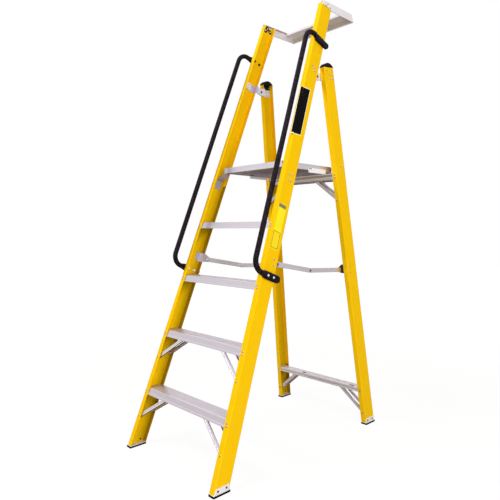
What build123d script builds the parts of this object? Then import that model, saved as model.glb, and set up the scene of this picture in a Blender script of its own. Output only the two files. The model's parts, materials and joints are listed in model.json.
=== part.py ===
from build123d import *
import os
from math import atan2, cos, degrees, hypot, radians, sin, tan

# Platform step ladder: a leaning front frame with four treads, two handrails and a top tray,
# a rear frame hinged to it, a folding platform and two jointed spreaders.
# +X is the climber's right, +Y points to the rear, +Z is up, and the origin lies on the floor
# in the middle of the feet. Lengths are in millimetres and angles in degrees.
# "Across" is measured rearwards over a stile's depth, "along" is measured up the stile.

os.makedirs("parts", exist_ok=True)

# Stance of the two frames
FRONT_LEAN = 20.19
REAR_LEAN = 7.69
FRONT_HALF_WIDTH = 356.9
REAR_INSET = 6.5
FRONT_FLARE = 2.53
REAR_FLARE = 2.57

# Stile section
STILE_DEPTH = 87.0
STILE_FLANGE = 30.5
STILE_WALL = 4.0
STILE_CORNER = 4.0
STILE_ROOT = 2.0
STILE_BELOW_TRAY = 10.0
REAR_STILE_ABOVE_FOLD = 51.8

# Treads and the channels that are made like them
TREAD_PITCH = 298.2
TREAD_COUNT = 4
TREAD_SKIRT = 34.0
TREAD_WALL = 3.0
TREAD_CORNER = 2.0
TREAD_TRIM = 2.2
SKIRT_BEAD = 8.0
SKIRT_RECESS = 1.2
GRIP_PITCH = 7.0
GRIP_GROOVE = 3.0
GRIP_DEPTH = 1.0
REST_SKIRT = 47.0
REST_DEPTH = 60.0
REAR_TREAD_TOP = 216.0
REAR_TREAD_SKIRT = 27.0
REAR_TREAD_DEPTH = 60.0
REAR_TREAD_SLOT = 30.0
REAR_TREAD_SLOT_WIDTH = 9.0
REAR_TREAD_SLOT_AT = (-113.0, 258.0)

# Pressed braces under treads
BRACE_WIDTH = 18.0
BRACE_LIP = 8.0
BRACE_SHEET = 2.0
BRACE_GROOVE = 5.0
BRACE_GROOVE_DEPTH = 0.8
BRACE_SEAT = 9.0
TREAD_BRACE_DROP = 139.0
TREAD_BRACE_REACH = 142.0
BRACED_TREADS = (1, 2)
REST_BRACE_DROP = 161.0
REST_BRACE_REACH = 88.0
REAR_TREAD_BRACE_DROP = 148.0
REAR_TREAD_BRACE_REACH = 172.0
BRACE_FLANGE_INSET = 15.0
BRACE_TOP_CLEARANCE = 3.0

# Top tray
TRAY_ABOVE_PLATFORM = 944.0
TRAY_DEPTH = 45.0
TRAY_SHEET = 3.5
TRAY_REACH = 280.0
TRAY_REAR_SLANT = 19.0
TRAY_TOE = 26.0
TRAY_FLANGE = 15.0
TRAY_FLANGE_SHEET = 3.0
TRAY_CROSS_DEPTH = 68.0
TRAY_CROSS_WALL = 3.0
TRAY_CROSS_LIP = 14.0
TRAY_RIVETS = ((41.0, 13.5), (24.5, 27.0), (63.7, 29.0))

# Handrails
RAIL_RADIUS = 13.5
RAIL_STANDOFF = 80.0
RAIL_OUTBOARD = 14.0
RAIL_BEND = 60.0
RAIL_ABOVE_FOLD = 173.6
RAIL_BELOW_SPREADER = 82.6
RAIL_TOP_END = 108.0
RAIL_BOTTOM_END = 112.0
RAIL_TAPER = 26.0
RAIL_FLAT_START = 8.0
RAIL_FLAT_WIDTH = 40.0
RAIL_TIP_MARGIN = 1.0
RAIL_FLAT_THICKNESS = 17.0
RAIL_BOLT_ACROSS = (24.0, 64.0)
BOLT_RADIUS = 4.0
BOLT_HEAD_RADIUS = 6.0
BOLT_HEAD = 4.0
NUT_ACROSS_FLATS = 13.0
NUT_HEIGHT = 6.5

# Rivets and pivots
RIVET_RADIUS = 2.4
RIVET_FIT = 0.05
RIVET_HEAD_RADIUS = 5.0
RIVET_HEAD = 1.6
RIVET_TAIL_RADIUS = 4.0
PIVOT_RADIUS = 5.0
PIVOT_FIT = 0.05
PIVOT_HEAD_RADIUS = 8.0
PIVOT_HEAD = 2.0
SIDE_GAP = 0.3

# Fold pivot between the frames
FOLD_BEHIND_STILE = 33.4
FOLD_AHEAD_OF_REAR = 29.1
FOLD_ABOVE_PLATFORM = 504.0
FOLD_LUG_SHEET = 4.0
FOLD_BRACKET_HEIGHT = 44.0
FOLD_NOSE = 21.0
FLANGE_CLEARANCE = 1.5
FRONT_FOLD_PLATE = 60.0
FOLD_RIVETS_FROM_REAR = (53.0, 29.0)
REAR_FOLD_RIVETS_FROM_REAR = (42.0, 15.0)
FOLD_RIVET_SPACING = 22.0

# Spreaders
SPREADER_TREAD = 3
SPREADER_ABOVE_TREAD = 80.4
SPREADER_BEHIND_STILE = 34.7
SPREADER_SAG = 16.9
SPREADER_AHEAD_OF_REAR = 26.0
LINK_WIDTH = 26.0
LINK_SHEET = 4.0
LINK_GROOVE = 8.0
LINK_GROOVE_DEPTH = 0.7
SPREADER_LUG_SHEET = 3.0
SPREADER_LUG_NOSE = 14.0
SPREADER_BRACKET_HEIGHT = 52.0
SPREADER_PLATE = 36.0
SPREADER_PIN_RADIUS = 4.0
SPREADER_PIN_HEAD_RADIUS = 7.0
SPREADER_RIVET_FROM_REAR = 27.0
REAR_SPREADER_RIVET_ACROSS = 20.0
SPREADER_RIVET_SPACING = 35.0
SPREADER_RIVET_DROP = 6.0

# Platform
PLATFORM_ABOVE_TREAD = 321.2
PLATFORM_DEPTH = 32.0
PLATFORM_SIDE_CLEARANCE = 5.6
PLATFORM_LENGTH = 424.0
PLATFORM_SHEET = 2.5
PLATFORM_RAIL_FLANGE = 14.0
PLATFORM_CORNER = 13.0
PLATFORM_NOSE_DEPTH = 24.0
PLATFORM_NOSE_BEHIND = 14.4
PLATFORM_PIVOT_IN = 20.0
PLATFORM_PIVOT_DROP = 19.5
PLATFORM_RIB_PITCH = 26.0
PLATFORM_RIB_SHEET = 2.0
PLATFORM_RIB_DEPTH = 9.0
PLATFORM_LINE = 1.0
LATCH_LENGTH = 150.0
LATCH_HEIGHT = 26.0
LATCH_SHEET = 4.0
LATCH_DROP = 20.0
LATCH_FROM_NOSE = 213.0
LATCH_SCREWS = ((8.0, 4.4), (20.0, 5.0))
SCREW_RADIUS = 2.5
PLATFORM_BRACKET_SHEET = 3.0
PLATFORM_BRACKET_BELOW_PIVOT = 47.0
PLATFORM_BRACKET_HEIGHT = 58.0
PLATFORM_BRACKET_ACROSS = (24.0, 66.0)
PLATFORM_RIVET_INSET = (11.5, 12.0)
PLATFORM_EAR_NOSE = 13.0

# Feet
PAD_THICKNESS = 8.0
PAD_OVERHANG = 2.5
BOOT_SHEET = 3.0
BOOT_HEIGHT = 35.0
BOOT_CORNER = 12.0
BOOT_RIVET_ACROSS = (18.0, 64.0)
BOOT_RIVET_HEIGHT = 23.0

# Caps on the rear stiles
CAP_RISE = 26.0
CAP_LIP = 1.0
CAP_SHEET = 3.0
CAP_RIVETS = ((28.0, 14.5), (69.5, 14.5))
CAP_SKIRT_GAP = 1.0

# Plates on the right-hand front stile
DARK_PLATE_INSET = 1.0
DARK_PLATE_SIZE = (55.0, 284.0)
DARK_PLATE_BELOW_FOLD = 131.4
DARK_PLATE_SLOPE = 16.0
BRIGHT_PLATE_INSET = 8.0
BRIGHT_PLATE_SIZE = (57.0, 243.0)
BRIGHT_PLATE_BELOW_BRACKET = 123.0
BRIGHT_PLATE_SLOPE = 0.0
PLATE_SHEET = 0.8
PLATE_CORNER = 3.0

# Rivets that hold the treads and channels
TREAD_RIVET_SHARE = 0.35
TREAD_RIVET_INSET = 15.0
REST_WEB_RIVETS = ((1519.5, 53.0), (1482.0, 53.0))

CUT_MARGIN = 60.0


class LeaningFrame:
    """The planes of one leaning frame, seen from its right-hand stile.

    web is the outside of the stile's web, with local (across, along).
    section is square to the stile, with local (across, inwards).
    side is the ladder's middle plane turned to the frame's lean, with local (across, up).
    face is the front of the frame, with local (x, up), and its normal points forwards.
    back is the rear of the frame, with local (-x, up), and its normal points rearwards.
    level is square to the frame's slope, with local (x, across).
    """

    def __init__(self, y, lean, flare, half_width):
        self.y = y
        self.lean = radians(lean)
        self.flare = radians(flare)
        self.half_width = half_width
        self.rearward = Vector(0, cos(self.lean), -sin(self.lean))
        self.upward = Vector(0, sin(self.lean), cos(self.lean))
        across_x = Vector(1, 0, 0)
        outward = across_x * cos(self.flare) + self.upward * sin(self.flare)
        along = self.upward * cos(self.flare) - across_x * sin(self.flare)
        corner = (half_width, y, 0)
        middle = (0, y, 0)
        self.web = Plane(corner, x_dir=self.rearward, z_dir=outward)
        self.section = Plane(corner, x_dir=self.rearward, z_dir=along)
        self.side = Plane(middle, x_dir=self.rearward, z_dir=(1, 0, 0))
        self.face = Plane(middle, x_dir=(1, 0, 0), z_dir=self.rearward * -1)
        self.level = Plane(middle, x_dir=(1, 0, 0), z_dir=self.upward)
        behind = Vector(middle) + self.rearward * STILE_DEPTH
        self.back = Plane(behind, x_dir=(-1, 0, 0), z_dir=self.rearward)
        mirrored = (-outward.X, outward.Y, outward.Z)
        self.left_web = Plane((-half_width, y, 0), x_dir=self.rearward, z_dir=mirrored)

    def local(self, y, z):
        """Return (across, up) of the point at y, z."""
        back = y - self.y
        return (back * cos(self.lean) - z * sin(self.lean), back * sin(self.lean) + z * cos(self.lean))

    def world(self, across, up):
        """Return (y, z) of the point at across, up."""
        back = across * cos(self.lean) + up * sin(self.lean)
        return (self.y + back, up * cos(self.lean) - across * sin(self.lean))

    def y_at(self, across, z):
        """Return y of the point at this distance across the stile and this height."""
        return self.y + z * tan(self.lean) + across / cos(self.lean)

    def up_at(self, across, z):
        """Return how far up the frame the point at across, z lies."""
        return (z + across * sin(self.lean)) / cos(self.lean)

    def along_at(self, across, z):
        """Return how far along the web the point at across, z lies."""
        return self.up_at(across, z) / cos(self.flare)

    def reach(self, along):
        """Return x of the outside of the web at this distance along the stile."""
        return self.half_width - along * sin(self.flare)


PLATFORM_TOP = TREAD_COUNT * TREAD_PITCH + PLATFORM_ABOVE_TREAD
FOLD_HEIGHT = PLATFORM_TOP + FOLD_ABOVE_PLATFORM
TRAY_TOP = PLATFORM_TOP + TRAY_ABOVE_PLATFORM
SPREADER_HEIGHT = SPREADER_TREAD * TREAD_PITCH + SPREADER_ABOVE_TREAD
FRONT_RUN = FOLD_HEIGHT * tan(radians(FRONT_LEAN))
FRONT_RUN += (STILE_DEPTH + FOLD_BEHIND_STILE) / cos(radians(FRONT_LEAN))
REAR_RUN = FOLD_HEIGHT * tan(radians(REAR_LEAN)) + FOLD_AHEAD_OF_REAR / cos(radians(REAR_LEAN))
FOOT_SPREAD = FRONT_RUN + REAR_RUN
PAD_SHIFT = PAD_THICKNESS * (tan(radians(FRONT_LEAN)) - tan(radians(REAR_LEAN)))
FRONT_Y = -(FOOT_SPREAD + STILE_DEPTH / cos(radians(REAR_LEAN)) + PAD_SHIFT) / 2
front = LeaningFrame(FRONT_Y, FRONT_LEAN, FRONT_FLARE, FRONT_HALF_WIDTH)
rear = LeaningFrame(FRONT_Y + FOOT_SPREAD, -REAR_LEAN, REAR_FLARE, FRONT_HALF_WIDTH - REAR_INSET)
FLANGE_INSIDE = STILE_DEPTH - STILE_WALL
STILE_FOOT = PAD_THICKNESS + BOOT_SHEET


def write(piece, name):
    """Label a piece and write it as a STEP file."""
    piece.part.label = name
    export_step(piece.part, f"parts/{name}.step")


def write_pair(right, name):
    """Write a right-hand piece and its mirror image."""
    with BuildPart() as left:
        mirror(right.part, about=Plane.YZ)
    write(right, f"{name}_right")
    write(left, f"{name}_left")


def keep_between_webs(frame, trim):
    """Trim the part in hand to the space between the insides of the webs."""
    split(bisect_by=frame.web.offset(-trim), keep=Keep.BOTTOM)
    split(bisect_by=frame.left_web.offset(-trim), keep=Keep.BOTTOM)


def drill(plane, places, radius, depth):
    """Cut round holes to both sides of a plane at its local places."""
    with BuildSketch(plane) as holes:
        with Locations(*places):
            Circle(radius)
    extrude(holes.sketch, amount=depth, both=True, mode=Mode.SUBTRACT)


# Fasteners

def headed_pin(radius, grip, head_radius, head, tail_radius, tail):
    """Make a pin along -Z from its head at Z = 0, with a domed head and a flat tail."""
    with BuildPart() as pin:
        Cylinder(head_radius, head, align=(Align.CENTER, Align.CENTER, Align.MIN))
        fillet(pin.edges().group_by(Axis.Z)[-1], head * 0.7)
        with Locations((0, 0, -grip)):
            Cylinder(radius, grip, align=(Align.CENTER, Align.CENTER, Align.MIN))
            if tail > 0:
                Cylinder(tail_radius, tail, align=(Align.CENTER, Align.CENTER, Align.MAX))
    return pin.part


def rivet(grip):
    """Make a blind rivet that clamps this thickness of sheet."""
    return headed_pin(RIVET_RADIUS, grip, RIVET_HEAD_RADIUS, RIVET_HEAD, RIVET_TAIL_RADIUS, RIVET_HEAD)


def bolt(grip):
    """Make a dome-headed bolt with its nut."""
    with BuildPart() as whole:
        add(headed_pin(BOLT_RADIUS, grip, BOLT_HEAD_RADIUS, BOLT_HEAD, BOLT_RADIUS, NUT_HEIGHT + 2))
        with BuildSketch(Plane.XY.offset(-grip)):
            RegularPolygon(NUT_ACROSS_FLATS / 2, 6, major_radius=False)
        extrude(amount=-NUT_HEIGHT)
    return whole.part


def set_pins(plane, places, pin):
    """Add copies of a pin at a plane's local places, heads towards its normal."""
    with Locations(*[plane * Pos(*place) for place in places]):
        add(pin)


def cut_rivets(plane, places, depth):
    """Drill rivet holes to both sides of a plane."""
    drill(plane, places, RIVET_RADIUS + RIVET_FIT, depth)


# Places that several pieces share

def tread_top(number):
    """Return the height of a front tread's top."""
    return number * TREAD_PITCH


def flange_places(frame, across, top, skirt):
    """Return the (x, up) places of the rivet pair that holds a tread's skirt to a flange."""
    places = []
    for step in (-0.5, 0.5):
        z = top - skirt / 2 + step * TREAD_RIVET_SHARE * skirt
        up = frame.up_at(across, z)
        places.append((frame.reach(up) - TREAD_RIVET_INSET, up))
    return places


REST_TOP = PLATFORM_TOP - PLATFORM_DEPTH - SIDE_GAP

fold_up = front.up_at(STILE_DEPTH + FOLD_BEHIND_STILE, FOLD_HEIGHT)
fold_front = (STILE_DEPTH + FOLD_BEHIND_STILE, fold_up)
fold_y, fold_z = front.world(*fold_front)
fold_rear = rear.local(fold_y, fold_z)
FRONT_FOLD_LUG = front.reach(fold_up) - STILE_FLANGE - FLANGE_CLEARANCE
REAR_FOLD_LUG = FRONT_FOLD_LUG - FOLD_LUG_SHEET - SIDE_GAP

spread_front = (
    STILE_DEPTH + SPREADER_BEHIND_STILE,
    front.up_at(STILE_DEPTH + SPREADER_BEHIND_STILE, SPREADER_HEIGHT),
)
spread_y, spread_z = front.world(*spread_front)
spread_rear = (-SPREADER_AHEAD_OF_REAR, fold_rear[1] - (fold_front[1] - spread_front[1]))
back_y, back_z = rear.world(*spread_rear)
spread_run = back_y - spread_y
spread_fall = spread_z - back_z
spread_span = hypot(spread_run, spread_fall)
SPREADER_LINK = hypot(spread_span / 2, SPREADER_SAG)
elbow_y = (spread_y + back_y) / 2 - SPREADER_SAG * spread_fall / spread_span
elbow_z = (spread_z + back_z) / 2 - SPREADER_SAG * spread_run / spread_span
FRONT_SPREAD_LUG = front.reach(spread_front[1]) - STILE_FLANGE - FLANGE_CLEARANCE
FRONT_LINK_FACE = FRONT_SPREAD_LUG - SPREADER_LUG_SHEET - SIDE_GAP
REAR_LINK_FACE = FRONT_LINK_FACE - LINK_SHEET - SIDE_GAP
REAR_SPREAD_LUG = REAR_LINK_FACE - LINK_SHEET - SIDE_GAP

NOSE_Y = front.y_at(PLATFORM_NOSE_BEHIND, PLATFORM_TOP)
PLATFORM_END_Y = NOSE_Y + PLATFORM_LENGTH
PLATFORM_BOTTOM = PLATFORM_TOP - PLATFORM_DEPTH
pivot_y = NOSE_Y + PLATFORM_PIVOT_IN
pivot_z = PLATFORM_TOP - PLATFORM_PIVOT_DROP
platform_pivot = front.local(pivot_y, pivot_z)
folded_end = platform_pivot[1] + PLATFORM_LENGTH - PLATFORM_PIVOT_IN
PLATFORM_HALF_WIDTH = front.reach(folded_end) - STILE_FLANGE - PLATFORM_SIDE_CLEARANCE
EAR_FACE = PLATFORM_HALF_WIDTH + SIDE_GAP + PLATFORM_BRACKET_SHEET
bracket_high = platform_pivot[1] - PLATFORM_BRACKET_BELOW_PIVOT
bracket_low = bracket_high - PLATFORM_BRACKET_HEIGHT

RAIL_TOP = fold_up + RAIL_ABOVE_FOLD
RAIL_BOTTOM = spread_front[1] - RAIL_BELOW_SPREADER
REAR_STILE_LENGTH = fold_rear[1] + REAR_STILE_ABOVE_FOLD


# Stiles

def stile(frame, length):
    """Extrude one channel-section stile from below the floor, and cut its foot level."""
    with BuildPart() as piece:
        with BuildSketch(frame.section.offset(-CUT_MARGIN)) as profile:
            Rectangle(STILE_DEPTH, STILE_FLANGE, align=(Align.MIN, Align.MIN))
            fillet(profile.vertices().group_by(Axis.Y)[0], STILE_CORNER)
            with Locations((STILE_WALL, STILE_WALL)):
                Rectangle(
                    STILE_DEPTH - 2 * STILE_WALL,
                    STILE_FLANGE,
                    align=(Align.MIN, Align.MIN),
                    mode=Mode.SUBTRACT,
                )
            inside = profile.vertices().filter_by_position(Axis.Y, STILE_WALL - 0.1, STILE_WALL + 0.1)
            fillet(inside, STILE_ROOT)
            fillet(profile.vertices().group_by(Axis.Y)[-1], STILE_WALL / 4)
        extrude(amount=length + CUT_MARGIN)
        split(bisect_by=Plane.XY.offset(STILE_FOOT), keep=Keep.TOP)
    return piece


def tray_places():
    """Return the (across, along) places of the rivets that hold a tray arm to the web."""
    places = []
    for behind, below in TRAY_RIVETS:
        z = TRAY_TOP - below
        across = front.local(front.y_at(0, TRAY_TOP) + behind, z)[0]
        places.append((across, front.along_at(across, z)))
    return places


def boot_places(frame):
    """Return the (across, along) places of the rivets that hold a boot."""
    return [(across, frame.along_at(across, BOOT_RIVET_HEIGHT)) for across in BOOT_RIVET_ACROSS]


def bracket_places(columns, middle, spacing):
    """Return rivet places in two rows about a height."""
    return [(across, middle + step * spacing) for across in columns for step in (-0.5, 0.5)]


def from_rear(distances):
    """Turn distances from a stile's rear edge into distances across it."""
    return [STILE_DEPTH - distance for distance in distances]


front_fold_places = bracket_places(from_rear(FOLD_RIVETS_FROM_REAR), fold_front[1], FOLD_RIVET_SPACING)
rear_fold_places = bracket_places(from_rear(REAR_FOLD_RIVETS_FROM_REAR), fold_rear[1], FOLD_RIVET_SPACING)
front_spread_places = bracket_places(
    from_rear([SPREADER_RIVET_FROM_REAR]), spread_front[1] - SPREADER_RIVET_DROP, SPREADER_RIVET_SPACING
)
rear_spread_places = bracket_places([REAR_SPREADER_RIVET_ACROSS], spread_rear[1], SPREADER_RIVET_SPACING)
platform_rivet_places = [
    (across, along)
    for across in (
        PLATFORM_BRACKET_ACROSS[0] + PLATFORM_RIVET_INSET[0],
        PLATFORM_BRACKET_ACROSS[1] - PLATFORM_RIVET_INSET[0],
    )
    for along in (bracket_low + PLATFORM_RIVET_INSET[1], bracket_high - PLATFORM_RIVET_INSET[1])
]
bolt_places = [(across, along) for along in (RAIL_BOTTOM, RAIL_TOP) for across in RAIL_BOLT_ACROSS]
cap_places = [(across, REAR_STILE_LENGTH - below) for across, below in CAP_RIVETS]
rest_places = [(across, rear.along_at(across, z)) for z, across in REST_WEB_RIVETS]


def flange_rivets(frame, across, rows):
    """Return the (x, up) rivet places on one flange for rows of (top, skirt)."""
    places = []
    for top, skirt in rows:
        places += flange_places(frame, across, top, skirt)
    return places


def brace_foot(frame, across, top, drop):
    """Return the (x, up) place where a brace is riveted to a flange."""
    up = frame.up_at(across, top - drop)
    return (frame.reach(up) - BRACE_FLANGE_INSET, up)


front_rows = [(tread_top(number), TREAD_SKIRT) for number in range(1, TREAD_COUNT + 1)]
rear_rows = [(REAR_TREAD_TOP, REAR_TREAD_SKIRT), (REST_TOP, REST_SKIRT)]
front_flange_places = flange_rivets(front, 0, front_rows)
front_back_places = flange_rivets(front, STILE_DEPTH, front_rows)
rear_flange_places = flange_rivets(rear, 0, rear_rows)
tread_foot_places = [brace_foot(front, 0, tread_top(n), TREAD_BRACE_DROP) for n in BRACED_TREADS]
tread_foot_back = [brace_foot(front, STILE_DEPTH, tread_top(n), TREAD_BRACE_DROP) for n in BRACED_TREADS]
rear_foot_places = [
    brace_foot(rear, 0, REST_TOP, REST_BRACE_DROP),
    brace_foot(rear, 0, REAR_TREAD_TOP, REAR_TREAD_BRACE_DROP),
]


def flip(places):
    """Turn (x, up) places into the local places of a frame's back plane."""
    return [(-x, up) for x, up in places]


front_web_rivets = (
    tray_places()
    + boot_places(front)
    + front_fold_places
    + front_spread_places
    + platform_rivet_places
)
rear_web_rivets = boot_places(rear) + rear_fold_places + rear_spread_places + cap_places + rest_places

stile_top = TRAY_TOP - STILE_BELOW_TRAY
front_stile = stile(front, (stile_top + STILE_DEPTH) / cos(front.lean))
with front_stile:
    split(bisect_by=Plane.XY.offset(stile_top), keep=Keep.BOTTOM)
    cut_rivets(front.web, front_web_rivets, STILE_WALL + 1)
    cut_rivets(front.face, front_flange_places + tread_foot_places, STILE_WALL + 1)
    cut_rivets(front.back, flip(front_back_places + tread_foot_back), STILE_WALL + 1)
    drill(front.web, bolt_places, BOLT_RADIUS + RIVET_FIT, STILE_WALL + 1)
write_pair(front_stile, "front_stile")

rear_stile = stile(rear, REAR_STILE_LENGTH)
with rear_stile:
    cut_rivets(rear.web, rear_web_rivets, STILE_WALL + 1)
    cut_rivets(rear.face, rear_flange_places + rear_foot_places, STILE_WALL + 1)
write_pair(rear_stile, "rear_stile")


# Treads and channels

def ribbed_channel(frame, top, skirt, depth):
    """Extrude a level channel with a grooved top and beaded skirts that follow the frame's lean."""
    first = STILE_WALL
    last = first + depth
    floor = top - skirt
    shoulder = floor + SKIRT_BEAD

    def corner(across, z):
        return (frame.y_at(across, z), z)

    with BuildPart() as piece:
        with BuildSketch(Plane.YZ) as profile:
            Polygon(
                corner(first, floor),
                corner(first, shoulder),
                corner(first + SKIRT_RECESS, shoulder + SKIRT_RECESS),
                corner(first + SKIRT_RECESS, top),
                corner(last - SKIRT_RECESS, top),
                corner(last - SKIRT_RECESS, shoulder + SKIRT_RECESS),
                corner(last, shoulder),
                corner(last, floor),
                align=None,
            )
            fillet(profile.vertices().group_by(Axis.Y)[-1], TREAD_CORNER)
            Polygon(
                corner(first + TREAD_WALL, floor - 1),
                corner(first + TREAD_WALL, top - TREAD_WALL),
                corner(last - TREAD_WALL, top - TREAD_WALL),
                corner(last - TREAD_WALL, floor - 1),
                align=None,
                mode=Mode.SUBTRACT,
            )
            grooves = int((depth - 2 * GRIP_PITCH) / GRIP_PITCH)
            middle = frame.y_at((first + last) / 2, top)
            with Locations((middle, top)):
                with GridLocations(GRIP_PITCH, 1, grooves, 1):
                    Rectangle(GRIP_GROOVE, 2 * GRIP_DEPTH, mode=Mode.SUBTRACT)
        extrude(amount=frame.half_width, both=True)
        keep_between_webs(frame, STILE_WALL + TREAD_TRIM)
    return piece


def both_sides(places):
    """Return (x, up) places together with their mirror images."""
    return places + flip(places)


for number in range(1, TREAD_COUNT + 1):
    top = tread_top(number)
    tread = ribbed_channel(front, top, TREAD_SKIRT, FLANGE_INSIDE - STILE_WALL)
    with tread:
        ahead = both_sides(flange_places(front, 0, top, TREAD_SKIRT))
        behind = both_sides(flange_places(front, STILE_DEPTH, top, TREAD_SKIRT))
        cut_rivets(front.face.offset(-STILE_WALL), ahead, TREAD_WALL + 1)
        cut_rivets(front.back.offset(-STILE_WALL), behind, TREAD_WALL + 1)
    write(tread, f"tread_{number}")

platform_rest = ribbed_channel(rear, REST_TOP, REST_SKIRT, REST_DEPTH)
with platform_rest:
    rest_rivets = both_sides(flange_places(rear, 0, REST_TOP, REST_SKIRT))
    cut_rivets(rear.face.offset(-STILE_WALL), rest_rivets, TREAD_WALL + 1)
write(platform_rest, "platform_rest")

rear_tread = ribbed_channel(rear, REAR_TREAD_TOP, REAR_TREAD_SKIRT, REAR_TREAD_DEPTH)
with rear_tread:
    tread_rivets = both_sides(flange_places(rear, 0, REAR_TREAD_TOP, REAR_TREAD_SKIRT))
    cut_rivets(rear.face.offset(-STILE_WALL), tread_rivets, TREAD_WALL + 1)
    slot_y = rear.y_at(STILE_WALL + REAR_TREAD_DEPTH / 4, REAR_TREAD_TOP)
    with BuildSketch(Plane.XY.offset(REAR_TREAD_TOP)) as slots:
        with Locations(*[(x, slot_y) for x in REAR_TREAD_SLOT_AT]):
            Rectangle(REAR_TREAD_SLOT, REAR_TREAD_SLOT_WIDTH)
    extrude(slots.sketch, amount=-2 * TREAD_WALL, mode=Mode.SUBTRACT)
write(rear_tread, "rear_tread")


# Braces

def press_brace(frame, across, low, high, lips, seat):
    """Add one pan-shaped brace whose lips point rearwards for lips = 1 and forwards for -1."""
    middle = ((low[0] + high[0]) / 2, (low[1] + high[1]) / 2)
    run = hypot(high[0] - low[0], high[1] - low[1])
    turn = degrees(atan2(high[1] - low[1], high[0] - low[0]))
    face = frame.face.offset(-across)

    def press(plane, width, depth, mode):
        with BuildSketch(plane) as slot:
            with Locations(middle):
                SlotCenterToCenter(run, width, rotation=turn)
        extrude(slot.sketch, amount=-lips * depth, mode=mode)

    press(face, BRACE_WIDTH, BRACE_LIP, Mode.ADD)
    inside_width = BRACE_WIDTH - 2 * BRACE_SHEET
    press(face.offset(-lips * BRACE_SHEET), inside_width, BRACE_LIP, Mode.SUBTRACT)
    press(face, BRACE_GROOVE, BRACE_GROOVE_DEPTH, Mode.SUBTRACT)
    with BuildSketch(face.offset(-lips * BRACE_SHEET / 2)) as boss:
        with Locations(low):
            Circle(BRACE_SEAT)
    extrude(boss.sketch, amount=lips * (seat + BRACE_SHEET / 2))
    if seat > 0:
        cut_rivets(face, [low], BRACE_LIP)


def brace_high(frame, across, top, reach):
    """Return the (x, up) middle of a brace's upper end, tucked under a tread's top."""
    rise = frame.up_at(across, top - TREAD_WALL - BRACE_TOP_CLEARANCE)
    return (reach, rise - BRACE_WIDTH / 2)


def ahead_brace(frame, top, drop, reach):
    """Add the brace that is riveted behind the front flange."""
    across = STILE_WALL + TREAD_WALL
    low = brace_foot(frame, 0, top, drop)
    press_brace(frame, across, low, brace_high(frame, across, top, reach), 1, TREAD_WALL)


def wall_brace(frame, across, top, drop, reach):
    """Add the brace that stands off the flanges, with its foot against the web."""
    up = frame.up_at(across, top - drop)
    low = (frame.reach(up) - STILE_WALL - BRACE_WIDTH / 2 - SIDE_GAP, up)
    press_brace(frame, across, low, brace_high(frame, across, top, reach), -1, 0)


with BuildPart() as tread_braces:
    for number in BRACED_TREADS:
        top = tread_top(number)
        across = FLANGE_INSIDE - TREAD_WALL
        ahead_brace(front, top, TREAD_BRACE_DROP, TREAD_BRACE_REACH)
        low = brace_foot(front, STILE_DEPTH, top, TREAD_BRACE_DROP)
        high = brace_high(front, across, top, TREAD_BRACE_REACH)
        press_brace(front, across, low, high, -1, TREAD_WALL)
    mirror(about=Plane.YZ)
write(tread_braces, "tread_braces")

with BuildPart() as platform_rest_braces:
    ahead_brace(rear, REST_TOP, REST_BRACE_DROP, REST_BRACE_REACH)
    behind = STILE_WALL + REST_DEPTH - TREAD_WALL
    wall_brace(rear, behind, REST_TOP, REST_BRACE_DROP, REST_BRACE_REACH)
    mirror(about=Plane.YZ)
write(platform_rest_braces, "platform_rest_braces")

with BuildPart() as rear_tread_braces:
    ahead_brace(rear, REAR_TREAD_TOP, REAR_TREAD_BRACE_DROP, REAR_TREAD_BRACE_REACH)
    behind = STILE_WALL + REAR_TREAD_DEPTH - TREAD_WALL
    wall_brace(rear, behind, REAR_TREAD_TOP, REAR_TREAD_BRACE_DROP, REAR_TREAD_BRACE_REACH)
    mirror(about=Plane.YZ)
write(rear_tread_braces, "rear_tread_braces")


# Top tray

def arm_x(y, z):
    """Return x of the web's outside at this y and height."""
    return front.reach(front.local(y, z)[1] / cos(front.flare))


def on_front_web(y, z):
    """Return (across, along) on the front web level with this y and height."""
    across, up = front.local(y, z)
    return (across, up / cos(front.flare))


tray_start = front.y_at(0, TRAY_TOP)
tray_end = tray_start + TRAY_REACH
tray_bottom = TRAY_TOP - TRAY_DEPTH
tray_heel = front.y_at(STILE_DEPTH, tray_bottom)

with BuildPart() as tray_arm:
    with BuildSketch(front.web):
        with BuildLine():
            toe = on_front_web(front.y_at(0, TRAY_TOP - TRAY_TOE), TRAY_TOP - TRAY_TOE)
            heel = on_front_web(tray_heel, tray_bottom)
            Polyline(
                toe,
                on_front_web(tray_start, TRAY_TOP),
                on_front_web(tray_end, TRAY_TOP),
                on_front_web(tray_end + TRAY_REAR_SLANT, tray_bottom),
                heel,
            )
            SagittaArc(heel, toe, -TRAY_TOE / 4)
        make_face()
    extrude(amount=TRAY_SHEET)
    with BuildSketch(Plane.XY.offset(TRAY_TOP)):
        near = arm_x(tray_start, TRAY_TOP)
        far = arm_x(tray_end, TRAY_TOP)
        Polygon(
            (near - TRAY_FLANGE, tray_start),
            (near + TRAY_SHEET / 2, tray_start),
            (far + TRAY_SHEET / 2, tray_end),
            (far - TRAY_FLANGE, tray_end),
            align=None,
        )
    extrude(amount=-TRAY_FLANGE_SHEET)
    cut_rivets(front.web, tray_places(), TRAY_SHEET + 1)
write_pair(tray_arm, "tray_arm")

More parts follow.
